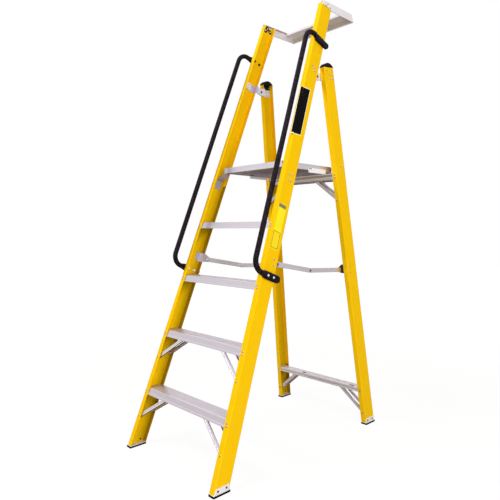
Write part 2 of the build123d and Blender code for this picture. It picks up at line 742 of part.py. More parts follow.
with BuildPart() as tray_crosspiece:
    with BuildSketch(Plane.YZ):
        under = TRAY_TOP - TRAY_FLANGE_SHEET
        slant = TRAY_REAR_SLANT / TRAY_DEPTH
        front_edge = tray_end - TRAY_CROSS_DEPTH
        with BuildLine():
            Polyline(
                (front_edge, under - TRAY_CROSS_LIP),
                (front_edge, under),
                (tray_end + slant * TRAY_FLANGE_SHEET, under),
                (tray_end + TRAY_REAR_SLANT, tray_bottom),
                (tray_end + TRAY_REAR_SLANT - TRAY_CROSS_LIP, tray_bottom),
            )
            offset(amount=TRAY_CROSS_WALL, side=Side.RIGHT)
        make_face()
    extrude(amount=front.half_width, both=True)
    keep_between_webs(front, 0)
write(tray_crosspiece, "tray_crosspiece")


# Handrails

def rail_section(across, along):
    """Return the plane square to a crossing, with local (along, outwards)."""
    centre = front.web.from_local_coords((across, along, 0))
    return Plane(centre, x_dir=front.section.z_dir, z_dir=front.rearward)


def flat_profile(plane):
    """Sketch the flattened section of a crossing, resting on the web."""
    with BuildSketch(plane) as profile:
        with Locations((0, RAIL_FLAT_THICKNESS / 2)):
            SlotOverall(RAIL_FLAT_WIDTH, RAIL_FLAT_THICKNESS)
    return profile.sketch


def flat_end(along, end):
    """Build the flattened end of a crossing, round at its tip."""
    width = RAIL_FLAT_WIDTH + RAIL_TIP_MARGIN
    with BuildPart() as flat:
        extrude(flat_profile(rail_section(RAIL_FLAT_START, along)), amount=end - RAIL_FLAT_START)
        with BuildSketch(front.web) as outline:
            with Locations(((RAIL_FLAT_START + end - width) / 2, along)):
                SlotOverall(end - RAIL_FLAT_START + width, width)
        extrude(outline.sketch, amount=RAIL_FLAT_THICKNESS + 1, mode=Mode.INTERSECT)
    return flat.part


def taper(along):
    """Build the stretch where the round tube flattens towards the web."""
    with BuildSketch(rail_section(taper_start, along)) as round_profile:
        with Locations((0, RAIL_OUTBOARD)):
            Circle(RAIL_RADIUS)
    with BuildPart() as stretch:
        loft([round_profile.sketch, flat_profile(rail_section(RAIL_FLAT_START, along))])
    return stretch.part


taper_start = RAIL_FLAT_START - RAIL_TAPER
rail_ends = [
    flat_end(RAIL_TOP, RAIL_TOP_END),
    flat_end(RAIL_BOTTOM, RAIL_BOTTOM_END),
    taper(RAIL_TOP),
    taper(RAIL_BOTTOM),
]

with BuildPart() as handrail:
    with BuildLine(front.web.offset(RAIL_OUTBOARD)) as route:
        FilletPolyline(
            (taper_start, RAIL_TOP),
            (-RAIL_STANDOFF, RAIL_TOP),
            (-RAIL_STANDOFF, RAIL_BOTTOM),
            (taper_start, RAIL_BOTTOM),
            radius=RAIL_BEND,
        )
    with BuildSketch(Plane(route.line @ 0, z_dir=route.line % 0)):
        Circle(RAIL_RADIUS)
    sweep()
    add(rail_ends)
    drill(front.web, bolt_places, BOLT_RADIUS + RIVET_FIT, RAIL_FLAT_THICKNESS + 1)
write_pair(handrail, "handrail")

with BuildPart() as handrail_bolts:
    bolt_grip = RAIL_FLAT_THICKNESS + STILE_WALL
    set_pins(front.web.offset(RAIL_FLAT_THICKNESS), bolt_places, bolt(bolt_grip))
    mirror(about=Plane.YZ)
write(handrail_bolts, "handrail_bolts")


# Pivot brackets

def pivot_bracket(frame, plate, jog, height, lug, pivot, nose, bore, sheet, places):
    """Build a bracket with a plate inside the web, a wall along a flange and a lug square to X."""
    low = pivot[1] - height / 2
    inside = frame.web.offset(-STILE_WALL)
    with BuildPart() as bracket:
        with BuildSketch(frame.level.offset(low)):
            with Locations((lug - sheet, jog)):
                Rectangle(STILE_DEPTH, sheet, align=(Align.MIN, Align.MIN))
        extrude(amount=height)
        split(bisect_by=inside.offset(-STILE_ROOT), keep=Keep.BOTTOM)
        with BuildSketch(inside):
            with Locations((plate[0], low / cos(frame.flare))):
                Rectangle(plate[1] - plate[0], height, align=(Align.MIN, Align.MIN))
        extrude(amount=-sheet)
        with BuildSketch(frame.side.offset(lug)):
            Polygon(
                (jog + sheet / 2, low),
                (pivot[0], pivot[1] - nose),
                (pivot[0], pivot[1] + nose),
                (jog + sheet / 2, low + height),
                align=None,
            )
            with Locations(pivot):
                Circle(nose)
        extrude(amount=-sheet)
        drill(frame.side.offset(lug), [pivot], bore + PIVOT_FIT, sheet + 1)
        cut_rivets(inside, places, sheet + 1)
    return bracket


plate_rear_edge = FLANGE_INSIDE - STILE_ROOT
plate_front_edge = STILE_WALL + STILE_ROOT

fold_bracket_front = pivot_bracket(
    front,
    (plate_rear_edge - FRONT_FOLD_PLATE, plate_rear_edge),
    FLANGE_INSIDE - FOLD_LUG_SHEET,
    FOLD_BRACKET_HEIGHT,
    FRONT_FOLD_LUG,
    fold_front,
    FOLD_NOSE,
    PIVOT_RADIUS,
    FOLD_LUG_SHEET,
    front_fold_places,
)
write_pair(fold_bracket_front, "fold_bracket_front")

fold_bracket_rear = pivot_bracket(
    rear,
    (plate_front_edge, plate_rear_edge),
    STILE_WALL,
    FOLD_BRACKET_HEIGHT,
    REAR_FOLD_LUG,
    fold_rear,
    FOLD_NOSE,
    PIVOT_RADIUS,
    FOLD_LUG_SHEET,
    rear_fold_places,
)
write_pair(fold_bracket_rear, "fold_bracket_rear")

spreader_bracket_front = pivot_bracket(
    front,
    (plate_rear_edge - SPREADER_PLATE, plate_rear_edge),
    FLANGE_INSIDE - SPREADER_LUG_SHEET,
    SPREADER_BRACKET_HEIGHT,
    FRONT_SPREAD_LUG,
    spread_front,
    SPREADER_LUG_NOSE,
    SPREADER_PIN_RADIUS,
    SPREADER_LUG_SHEET,
    front_spread_places,
)
write_pair(spreader_bracket_front, "spreader_bracket_front")

spreader_bracket_rear = pivot_bracket(
    rear,
    (plate_front_edge, plate_front_edge + SPREADER_PLATE),
    STILE_WALL,
    SPREADER_BRACKET_HEIGHT,
    REAR_SPREAD_LUG,
    spread_rear,
    SPREADER_LUG_NOSE,
    SPREADER_PIN_RADIUS,
    SPREADER_LUG_SHEET,
    rear_spread_places,
)
write_pair(spreader_bracket_rear, "spreader_bracket_rear")

with BuildPart() as platform_bracket:
    bracket_width = PLATFORM_BRACKET_ACROSS[1] - PLATFORM_BRACKET_ACROSS[0]
    inner = front.reach(bracket_high) - STILE_WALL - PLATFORM_BRACKET_SHEET
    strap_top = platform_pivot[1] - PLATFORM_EAR_NOSE
    with BuildSketch(front.web.offset(-STILE_WALL)):
        with Locations((PLATFORM_BRACKET_ACROSS[0], bracket_low)):
            Rectangle(
                bracket_width,
                bracket_high - bracket_low,
                align=(Align.MIN, Align.MIN),
            )
    extrude(amount=-PLATFORM_BRACKET_SHEET)
    with BuildSketch(front.face.offset(-PLATFORM_BRACKET_ACROSS[0])):
        with BuildLine():
            Polyline(
                (inner + PLATFORM_BRACKET_SHEET / 2, bracket_high - PLATFORM_BRACKET_SHEET),
                (EAR_FACE, strap_top - PLATFORM_BRACKET_SHEET),
                (EAR_FACE, strap_top),
            )
            offset(amount=PLATFORM_BRACKET_SHEET, side=Side.LEFT)
        make_face()
    extrude(amount=-bracket_width)
    with BuildSketch(front.side.offset(EAR_FACE)):
        Polygon(
            (PLATFORM_BRACKET_ACROSS[0], strap_top),
            (PLATFORM_BRACKET_ACROSS[1], strap_top),
            (platform_pivot[0] + PLATFORM_EAR_NOSE, platform_pivot[1]),
            (platform_pivot[0] - PLATFORM_EAR_NOSE, platform_pivot[1]),
            align=None,
        )
        with Locations(platform_pivot):
            Circle(PLATFORM_EAR_NOSE)
    extrude(amount=-PLATFORM_BRACKET_SHEET)
    ear_depth = PLATFORM_BRACKET_SHEET + 1
    drill(front.side.offset(EAR_FACE), [platform_pivot], PIVOT_RADIUS + PIVOT_FIT, ear_depth)
    cut_rivets(front.web.offset(-STILE_WALL), platform_rivet_places, PLATFORM_BRACKET_SHEET + 1)
write_pair(platform_bracket, "platform_bracket")


# Feet and caps

def footprint(frame, overhang):
    """Return x and y ranges of a stile's foot with its boot, widened by an overhang."""
    outside = frame.reach(frame.along_at(0, PAD_THICKNESS)) + BOOT_SHEET
    x_range = (outside - BOOT_SHEET - STILE_FLANGE - overhang, outside + overhang)
    y_range = (
        frame.y_at(0, PAD_THICKNESS) - overhang,
        frame.y_at(STILE_DEPTH, PAD_THICKNESS) + overhang,
    )
    return x_range, y_range


def level_slab(frame, overhang, bottom, thickness):
    """Add a level slab under a stile's foot."""
    (x0, x1), (y0, y1) = footprint(frame, overhang)
    with BuildSketch(Plane.XY.offset(bottom)) as slab:
        with Locations(((x0 + x1) / 2, (y0 + y1) / 2)):
            Rectangle(x1 - x0, y1 - y0)
    extrude(slab.sketch, amount=thickness)


def boot(frame):
    """Build the pressed boot: a sole under the stile and a wall outside its web."""
    first = STILE_WALL
    last = FLANGE_INSIDE - STILE_WALL
    with BuildPart() as piece:
        level_slab(frame, 0, PAD_THICKNESS, BOOT_SHEET)
        with BuildSketch(frame.web) as outline:
            Polygon(
                (first, frame.along_at(first, PAD_THICKNESS + BOOT_SHEET / 2)),
                (first, frame.along_at(first, BOOT_HEIGHT)),
                (last, frame.along_at(last, BOOT_HEIGHT)),
                (last, frame.along_at(last, PAD_THICKNESS + BOOT_SHEET / 2)),
                align=None,
            )
            fillet(outline.vertices().group_by(Axis.X)[0].sort_by(Axis.Y)[-1], BOOT_CORNER)
        extrude(amount=BOOT_SHEET)
        cut_rivets(frame.web, boot_places(frame), BOOT_SHEET + STILE_WALL + 1)
    return piece


def foot(frame):
    """Build the rubber pad under a boot."""
    with BuildPart() as piece:
        level_slab(frame, PAD_OVERHANG, 0, PAD_THICKNESS)
        fillet(piece.edges().filter_by(Axis.Z), STILE_CORNER)
        fillet(piece.edges().group_by(Axis.Z)[-1], PAD_OVERHANG / 2)
    return piece


for frame, name in ((front, "front"), (rear, "rear")):
    write_pair(boot(frame), f"boot_{name}")
    write_pair(foot(frame), f"foot_{name}")

with BuildPart() as stile_cap:
    with BuildSketch(rear.web.offset(CAP_LIP)):
        with BuildLine():
            ThreePointArc(
                (-CAP_LIP, REAR_STILE_LENGTH),
                (STILE_DEPTH / 2, REAR_STILE_LENGTH + CAP_RISE),
                (STILE_DEPTH + CAP_LIP, REAR_STILE_LENGTH),
            )
            Line((STILE_DEPTH + CAP_LIP, REAR_STILE_LENGTH), (-CAP_LIP, REAR_STILE_LENGTH))
        make_face()
    extrude(amount=-(STILE_FLANGE + 2 * CAP_LIP))
    fillet(stile_cap.edges().filter_by(GeomType.CIRCLE), CAP_SHEET / 2)
    with BuildSketch(rear.web.offset(-STILE_WALL)):
        bracket_top = (fold_rear[1] + FOLD_BRACKET_HEIGHT / 2) / cos(rear.flare)
        skirt = REAR_STILE_LENGTH - bracket_top - CAP_SKIRT_GAP
        with Locations((plate_front_edge, REAR_STILE_LENGTH - skirt)):
            Rectangle(plate_rear_edge - plate_front_edge, skirt + 1, align=(Align.MIN, Align.MIN))
    extrude(amount=-CAP_SHEET)
    cut_rivets(rear.web.offset(-STILE_WALL), cap_places, CAP_SHEET + 1)
write_pair(stile_cap, "stile_cap")


# Spreaders: the elbow is where each loop is open, so no pin passes through both links

def spreader_link(face, start, end, bore):
    """Build one spreader link between two (y, z) points, outer face at x = face."""
    middle = ((start[0] + end[0]) / 2, (start[1] + end[1]) / 2)
    turn = degrees(atan2(end[1] - start[1], end[0] - start[0]))
    plane = Plane.YZ.offset(face)
    with BuildPart() as link:
        with BuildSketch(plane):
            with Locations(middle):
                SlotCenterToCenter(SPREADER_LINK, LINK_WIDTH, rotation=turn)
        extrude(amount=-LINK_SHEET)
        for side, depth in ((plane, -LINK_GROOVE_DEPTH), (plane.offset(-LINK_SHEET), LINK_GROOVE_DEPTH)):
            with BuildSketch(side):
                with Locations(middle):
                    SlotCenterToCenter(SPREADER_LINK - 3 * LINK_WIDTH, LINK_GROOVE, rotation=turn)
            extrude(amount=depth, mode=Mode.SUBTRACT)
        drill(plane, bore, SPREADER_PIN_RADIUS + PIVOT_FIT, LINK_SHEET + 1)
    return link


spread_start = (spread_y, spread_z)
elbow = (elbow_y, elbow_z)
spread_end = (back_y, back_z)
front_link = spreader_link(FRONT_LINK_FACE, spread_start, elbow, [spread_start, elbow])
rear_link = spreader_link(REAR_LINK_FACE, elbow, spread_end, [spread_end])
with rear_link:
    with BuildSketch(Plane.YZ.offset(REAR_LINK_FACE - LINK_SHEET)) as boss:
        with Locations(elbow):
            Circle(SPREADER_PIN_HEAD_RADIUS)
    extrude(boss.sketch, amount=-PIVOT_HEAD)
write_pair(front_link, "spreader_front_link")
write_pair(rear_link, "spreader_rear_link")

with BuildPart() as elbow_pin:
    pin = headed_pin(SPREADER_PIN_RADIUS, LINK_SHEET, SPREADER_PIN_HEAD_RADIUS, PIVOT_HEAD, 0, 0)
    set_pins(Plane.YZ.offset(FRONT_LINK_FACE), [elbow], pin)
write_pair(elbow_pin, "spreader_elbow_pin")

link_grip = SPREADER_LUG_SHEET + SIDE_GAP + LINK_SHEET
link_pin = headed_pin(SPREADER_PIN_RADIUS, link_grip, SPREADER_PIN_HEAD_RADIUS, PIVOT_HEAD, 0, 0)

with BuildPart() as spreader_front_pins:
    set_pins(Plane.YZ.offset(FRONT_SPREAD_LUG), [spread_start], link_pin)
    mirror(about=Plane.YZ)
write(spreader_front_pins, "spreader_front_pins")

with BuildPart() as spreader_rear_pins:
    inboard = Plane((REAR_SPREAD_LUG - SPREADER_LUG_SHEET, 0, 0), x_dir=(0, -1, 0), z_dir=(-1, 0, 0))
    set_pins(inboard, [(-back_y, back_z)], link_pin)
    mirror(about=Plane.YZ)
write(spreader_rear_pins, "spreader_rear_pins")

with BuildPart() as fold_pins:
    fold_grip = 2 * (FOLD_LUG_SHEET + SIDE_GAP)
    pin = headed_pin(PIVOT_RADIUS, fold_grip, PIVOT_HEAD_RADIUS, PIVOT_HEAD, PIVOT_HEAD_RADIUS, PIVOT_HEAD)
    set_pins(Plane.YZ.offset(FRONT_FOLD_LUG), [(fold_y, fold_z)], pin)
    mirror(about=Plane.YZ)
write(fold_pins, "fold_pins")

with BuildPart() as platform_pins:
    ear_grip = PLATFORM_BRACKET_SHEET + PLATFORM_SHEET + 2 * SIDE_GAP
    pin = headed_pin(PIVOT_RADIUS, ear_grip, PIVOT_HEAD_RADIUS, PIVOT_HEAD, PIVOT_HEAD_RADIUS, PIVOT_HEAD)
    set_pins(Plane.YZ.offset(EAR_FACE), [(pivot_y, pivot_z)], pin)
    mirror(about=Plane.YZ)
write(platform_pins, "platform_pins")


# Platform

def box_between(low, high, mode=Mode.ADD):
    """Add a box between two corners."""
    size = [b - a for a, b in zip(low, high)]
    with Locations(tuple((a + b) / 2 for a, b in zip(low, high))):
        Box(*size, mode=mode)


deck_front = NOSE_Y + PLATFORM_SHEET
deck_rear = PLATFORM_END_Y - PLATFORM_SHEET
deck_top = PLATFORM_TOP - PLATFORM_SHEET
rail_inside = PLATFORM_HALF_WIDTH - PLATFORM_RAIL_FLANGE
latch_front = NOSE_Y + LATCH_FROM_NOSE
latch_top = PLATFORM_TOP - LATCH_DROP
screw_places = [(latch_front + behind, latch_top - drop) for behind, drop in LATCH_SCREWS]

with BuildPart() as platform_rail:
    with BuildSketch(Plane.YZ.offset(PLATFORM_HALF_WIDTH)) as outline:
        with Locations((deck_front, PLATFORM_BOTTOM)):
            Rectangle(PLATFORM_END_Y - deck_front, PLATFORM_DEPTH, align=(Align.MIN, Align.MIN))
        fillet(outline.vertices().group_by(Axis.X)[-1], PLATFORM_CORNER)
    extrude(amount=-PLATFORM_RAIL_FLANGE)
    with BuildSketch(Plane.YZ.offset(PLATFORM_HALF_WIDTH - PLATFORM_SHEET)) as hollow:
        with Locations((deck_front - 1, PLATFORM_BOTTOM + PLATFORM_SHEET)):
            Rectangle(
                deck_rear - deck_front + 1,
                PLATFORM_DEPTH - 2 * PLATFORM_SHEET,
                align=(Align.MIN, Align.MIN),
            )
        fillet(hollow.vertices().group_by(Axis.X)[-1], PLATFORM_CORNER - PLATFORM_SHEET)
    extrude(amount=-PLATFORM_RAIL_FLANGE, mode=Mode.SUBTRACT)
    line_z = PLATFORM_TOP - PLATFORM_DEPTH / 4
    box_between(
        (PLATFORM_HALF_WIDTH - PLATFORM_LINE, deck_front - 1, line_z),
        (PLATFORM_HALF_WIDTH + 1, PLATFORM_END_Y + 1, line_z + PLATFORM_LINE),
        mode=Mode.SUBTRACT,
    )
    rail_plane = Plane.YZ.offset(PLATFORM_HALF_WIDTH)
    drill(rail_plane, [(pivot_y, pivot_z)], PIVOT_RADIUS + PIVOT_FIT, PLATFORM_SHEET + 1)
    drill(rail_plane, screw_places, SCREW_RADIUS + RIVET_FIT, PLATFORM_SHEET + 1)
write_pair(platform_rail, "platform_rail")

with BuildPart() as platform_nose:
    with BuildSketch(Plane.YZ):
        shoulder = PLATFORM_BOTTOM + SKIRT_BEAD
        Polygon(
            (NOSE_Y, PLATFORM_BOTTOM),
            (NOSE_Y, shoulder),
            (NOSE_Y + SKIRT_RECESS, shoulder + SKIRT_RECESS),
            (NOSE_Y + SKIRT_RECESS, PLATFORM_TOP),
            (deck_front, PLATFORM_TOP),
            (deck_front, PLATFORM_BOTTOM),
            align=None,
        )
    extrude(amount=PLATFORM_HALF_WIDTH, both=True)
    box_between(
        (-rail_inside, deck_front, PLATFORM_BOTTOM),
        (rail_inside, NOSE_Y + PLATFORM_NOSE_DEPTH, PLATFORM_BOTTOM + PLATFORM_SHEET),
    )
write(platform_nose, "platform_nose")

with BuildPart() as platform_deck:
    edge = PLATFORM_HALF_WIDTH - PLATFORM_SHEET
    deck_end = PLATFORM_END_Y - PLATFORM_CORNER
    with BuildSketch(Plane.YZ):
        with Locations((deck_front, deck_top - PLATFORM_SHEET)):
            Rectangle(deck_end - deck_front, PLATFORM_SHEET, align=(Align.MIN, Align.MIN))
        grooves = int((deck_end - deck_front - 2 * GRIP_PITCH) / GRIP_PITCH)
        with Locations(((deck_front + deck_end) / 2, deck_top)):
            with GridLocations(GRIP_PITCH, 1, grooves, 1):
                Rectangle(GRIP_GROOVE, 2 * GRIP_DEPTH, mode=Mode.SUBTRACT)
    extrude(amount=edge, both=True)
    with BuildSketch(Plane.YZ):
        ribs = int((deck_end - deck_front) / PLATFORM_RIB_PITCH)
        hang = deck_top - PLATFORM_SHEET / 2
        with Locations(((deck_front + deck_end) / 2, hang - PLATFORM_RIB_DEPTH / 2)):
            with GridLocations(PLATFORM_RIB_PITCH, 1, ribs, 1):
                Rectangle(PLATFORM_RIB_SHEET, PLATFORM_RIB_DEPTH)
    extrude(amount=rail_inside - SIDE_GAP, both=True)
    box_between(
        (-rail_inside + SIDE_GAP, deck_end - PLATFORM_SHEET, PLATFORM_BOTTOM),
        (rail_inside - SIDE_GAP, deck_end, hang),
    )
write(platform_deck, "platform_deck")

with BuildPart() as platform_latch:
    with BuildSketch(Plane.YZ.offset(PLATFORM_HALF_WIDTH)) as outline:
        with Locations((latch_front, latch_top - LATCH_HEIGHT)):
            Rectangle(LATCH_LENGTH, LATCH_HEIGHT, align=(Align.MIN, Align.MIN))
        fillet(outline.vertices(), LATCH_SHEET / 2)
    extrude(amount=LATCH_SHEET)
    drill(rail_plane, screw_places, SCREW_RADIUS + RIVET_FIT, LATCH_SHEET + 1)
write_pair(platform_latch, "platform_latch")

with BuildPart() as latch_screws:
    screw_grip = LATCH_SHEET + PLATFORM_SHEET
    screw = headed_pin(
        SCREW_RADIUS, screw_grip, RIVET_TAIL_RADIUS, RIVET_HEAD, RIVET_TAIL_RADIUS, RIVET_HEAD
    )
    set_pins(Plane.YZ.offset(PLATFORM_HALF_WIDTH + LATCH_SHEET), screw_places, screw)
    mirror(about=Plane.YZ)
write(latch_screws, "latch_screws")


# Plates

dark_top = fold_up - DARK_PLATE_BELOW_FOLD
bright_top = bracket_low - BRIGHT_PLATE_BELOW_BRACKET
for name, across, top, (width, length), slope in (
    ("dark_plate", DARK_PLATE_INSET, dark_top, DARK_PLATE_SIZE, DARK_PLATE_SLOPE),
    ("bright_plate", BRIGHT_PLATE_INSET, bright_top, BRIGHT_PLATE_SIZE, BRIGHT_PLATE_SLOPE),
):
    front_top = top - width * tan(radians(slope))
    with BuildPart() as plate:
        with BuildSketch(front.web) as outline:
            Polygon(
                (across, front_top - length),
                (across + width, top - length),
                (across + width, top),
                (across, front_top),
                align=None,
            )
            fillet(outline.vertices(), PLATE_CORNER)
        extrude(amount=PLATE_SHEET)
    write(plate, name)


# Rivets

with BuildPart() as front_rivets:
    set_pins(front.web.offset(TRAY_SHEET), tray_places(), rivet(TRAY_SHEET + STILE_WALL))
    set_pins(front.web.offset(BOOT_SHEET), boot_places(front), rivet(STILE_WALL + BOOT_SHEET))
    set_pins(front.web, front_fold_places, rivet(STILE_WALL + FOLD_LUG_SHEET))
    set_pins(front.web, front_spread_places, rivet(STILE_WALL + SPREADER_LUG_SHEET))
    set_pins(front.web, platform_rivet_places, rivet(STILE_WALL + PLATFORM_BRACKET_SHEET))
    set_pins(front.face, front_flange_places, rivet(STILE_WALL + TREAD_WALL))
    set_pins(front.back, flip(front_back_places), rivet(STILE_WALL + TREAD_WALL))
    foot_rivet = rivet(STILE_WALL + TREAD_WALL + BRACE_SHEET)
    set_pins(front.face, tread_foot_places, foot_rivet)
    set_pins(front.back, flip(tread_foot_back), foot_rivet)
    mirror(about=Plane.YZ)
write(front_rivets, "front_rivets")

with BuildPart() as rear_rivets:
    set_pins(rear.web.offset(BOOT_SHEET), boot_places(rear), rivet(STILE_WALL + BOOT_SHEET))
    set_pins(rear.web, rear_fold_places, rivet(STILE_WALL + FOLD_LUG_SHEET))
    set_pins(rear.web, rear_spread_places, rivet(STILE_WALL + SPREADER_LUG_SHEET))
    set_pins(rear.web, cap_places, rivet(STILE_WALL + CAP_SHEET))
    set_pins(rear.web, rest_places, rivet(STILE_WALL))
    set_pins(rear.face, rear_flange_places, rivet(STILE_WALL + TREAD_WALL))
    set_pins(rear.face, rear_foot_places, rivet(STILE_WALL + TREAD_WALL + BRACE_SHEET))
    mirror(about=Plane.YZ)
write(rear_rivets, "rear_rivets")
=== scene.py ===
"""Dress a platform step ladder with procedural finishes and light it in a plain studio."""

import json
import logging
import math
from dataclasses import dataclass, replace
from enum import Enum
from typing import Iterable, Optional, Sequence

import bmesh
import bpy
import numpy as np
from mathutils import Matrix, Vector

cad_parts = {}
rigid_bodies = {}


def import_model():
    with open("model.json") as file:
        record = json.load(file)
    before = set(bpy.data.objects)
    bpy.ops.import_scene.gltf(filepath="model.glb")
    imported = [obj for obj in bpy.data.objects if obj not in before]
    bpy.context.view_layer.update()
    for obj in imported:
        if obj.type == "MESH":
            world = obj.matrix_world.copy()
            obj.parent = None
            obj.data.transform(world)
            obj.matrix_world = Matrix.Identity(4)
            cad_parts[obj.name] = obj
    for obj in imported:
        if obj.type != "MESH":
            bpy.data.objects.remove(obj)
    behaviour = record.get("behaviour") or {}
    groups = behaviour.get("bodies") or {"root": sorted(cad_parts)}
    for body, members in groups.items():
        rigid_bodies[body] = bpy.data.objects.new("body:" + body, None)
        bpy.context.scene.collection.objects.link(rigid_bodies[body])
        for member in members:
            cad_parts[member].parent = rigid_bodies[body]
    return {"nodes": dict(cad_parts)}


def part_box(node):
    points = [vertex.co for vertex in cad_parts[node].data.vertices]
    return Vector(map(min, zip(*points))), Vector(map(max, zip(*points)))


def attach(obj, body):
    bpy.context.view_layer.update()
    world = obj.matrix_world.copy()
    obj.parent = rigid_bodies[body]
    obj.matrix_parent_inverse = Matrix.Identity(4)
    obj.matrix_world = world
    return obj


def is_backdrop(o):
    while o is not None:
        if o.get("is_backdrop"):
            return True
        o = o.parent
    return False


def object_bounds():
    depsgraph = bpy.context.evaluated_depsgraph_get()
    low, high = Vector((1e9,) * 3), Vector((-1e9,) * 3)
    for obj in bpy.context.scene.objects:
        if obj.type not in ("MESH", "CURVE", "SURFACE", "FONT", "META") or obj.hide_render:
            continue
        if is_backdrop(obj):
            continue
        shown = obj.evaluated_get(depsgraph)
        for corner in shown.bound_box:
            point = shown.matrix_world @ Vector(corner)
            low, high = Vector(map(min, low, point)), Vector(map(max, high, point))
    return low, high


LOG = logging.getLogger("step_ladder")
HALF_FACING = 0.5  # a face counts as facing a way from this cosine on
END_POINTS = 40  # how many points make up one end of a piece
RADIUS_SLACK = 0.0003  # how far a point on a rivet's tail may lie from its radius
SHEETS_UNDER_HEAD = 0.005  # a rivet's tail lies at least this far below the top of its head
Triple = tuple[float, float, float]
Colour = tuple[float, float, float]
Socket = bpy.types.NodeSocket
Piece = bpy.types.Object
Material = bpy.types.Material


class Side(Enum):
    """The two sides of the ladder, by the name that ends a node's name."""

    LEFT = "left"
    RIGHT = "right"


class Frame(Enum):
    """The two leaning frames, by the body that carries each."""

    FRONT = "front_frame"
    REAR = "rear_frame"


class Axis(Enum):
    """The ladder's main directions."""

    ACROSS = (1.0, 0.0, 0.0)
    REARWARD = (0.0, 1.0, 0.0)
    FORWARD = (0.0, -1.0, 0.0)
    UPWARD = (0.0, 0.0, 1.0)
    DOWNWARD = (0.0, 0.0, -1.0)


# Node boards


class Board:
    """A node tree with short calls for the nodes that the finishes use."""

    def __init__(self, tree: bpy.types.NodeTree) -> None:
        """Take hold of a tree to add nodes to."""
        self.tree = tree

    def node(
        self, kind: str, given: Optional[dict[object, object]] = None, **settings: object
    ) -> bpy.types.Node:
        """Add a node, set its own properties and feed its inputs.

        Args:
            kind: The node's type name.
            given: A socket or a plain value for each input, by name or number.
            **settings: Properties of the node by name.

        Returns:
            The new node.
        """
        made = self.tree.nodes.new(kind)
        for name, value in settings.items():
            setattr(made, name, value)
        for name, value in (given or {}).items():
            self.put(made.inputs[name], value)
        return made

    def put(self, socket: Socket, value: object) -> None:
        """Link a socket to an input, or write a plain value on it.

        Args:
            socket: The input socket.
            value: Another node's output socket, or a number, colour or vector.
        """
        if isinstance(value, Socket):
            self.tree.links.new(value, socket)
        else:
            socket.default_value = value

    def math(self, operation: str, first: object, second: object = 0.0) -> Socket:
        """Give the result of a Math node."""
        return self.node("ShaderNodeMath", {0: first, 1: second}, operation=operation).outputs[0]

    def times(self, first: object, second: object) -> Socket:
        """Multiply two values."""
        return self.math("MULTIPLY", first, second)

    def most(self, first: object, second: object) -> Socket:
        """Take the larger of two values."""
        return self.math("MAXIMUM", first, second)

    def above(self, value: object, limit: float) -> Socket:
        """Give one where a value is above a limit, and zero elsewhere."""
        return self.math("GREATER_THAN", value, limit)

    def below(self, value: object, limit: float) -> Socket:
        """Give one where a value is below a limit, and zero elsewhere."""
        return self.math("LESS_THAN", value, limit)

    def vector(self, operation: str, first: object, second: object) -> bpy.types.Node:
        """Add a Vector Math node."""
        return self.node("ShaderNodeVectorMath", {0: first, 1: second}, operation=operation)

    def dot(self, vector: object, direction: object) -> Socket:
        """Measure a vector along a direction."""
        return self.vector("DOT_PRODUCT", vector, direction).outputs["Value"]

    def noise(self, vector: object, scale: object, detail: float = 2.0) -> Socket:
        """Give the value of a noise texture."""
        given = {"Vector": vector, "Scale": scale, "Detail": detail}
        return self.node("ShaderNodeTexNoise", given).outputs["Fac"]

    def spread(self, value: object, low: float, high: float, start: float = 0.3, end: float = 0.7) -> Socket:
        """Map a value from one range to another and hold it there.

        Args:
            value: The value socket.
            low: The result at start.
            high: The result at end.
            start: The value that gives low.
            end: The value that gives high.

        Returns:
            The mapped value's socket.
        """
        ends = {"From Min": start, "From Max": end, "To Min": low, "To Max": high}
        return self.node("ShaderNodeMapRange", {"Value": value, **ends}).outputs["Result"]

    def mix(self, share: object, first: object, second: object) -> Socket:
        """Mix a share of the second colour into the first, each a socket or three numbers."""
        ends = [(*end, 1.0) if isinstance(end, tuple) else end for end in (first, second)]
        return self.node("ShaderNodeMix", {0: share, 6: ends[0], 7: ends[1]}, data_type="RGBA").outputs[2]

    def bump(self, height: object, strength: float, distance: float) -> Socket:
        """Turn a height into a normal, with a relief so many metres deep."""
        given = {"Height": height, "Strength": strength, "Distance": distance}
        return self.node("ShaderNodeBump", given).outputs["Normal"]


class SharedTree:
    """A node tree that is built once; each socket is a name, a kind and a starting value."""

    NAME = ""
    KIND = "ShaderNodeTree"
    INPUTS: tuple[tuple[str, str, Optional[float]], ...] = ()
    OUTPUTS: tuple[str, ...] = ()
    OUTPUT_KIND = "Float"

    @classmethod
    def get(cls) -> bpy.types.NodeTree:
        """Find the tree, or build it when it is first asked for.

        Returns:
            The tree, with the inputs and outputs that the class names.
        """
        found = bpy.data.node_groups.get(cls.NAME)
        if found:
            return found
        tree = bpy.data.node_groups.new(cls.NAME, cls.KIND)
        for name, kind, value in cls.INPUTS:
            made = tree.interface.new_socket(name, in_out="INPUT", socket_type=f"NodeSocket{kind}")
            if value is not None:
                made.default_value = value
        for name in cls.OUTPUTS:
            tree.interface.new_socket(name, in_out="OUTPUT", socket_type=f"NodeSocket{cls.OUTPUT_KIND}")
        board = Board(tree)
        board.node("NodeGroupOutput", cls.wire(board, board.node("NodeGroupInput").outputs))
        return tree

    @classmethod
    def wire(cls, board: Board, given: bpy.types.NodeOutputs) -> dict[object, object]:
        """Wire the tree from its inputs and give a socket for each output's name."""
        raise NotImplementedError


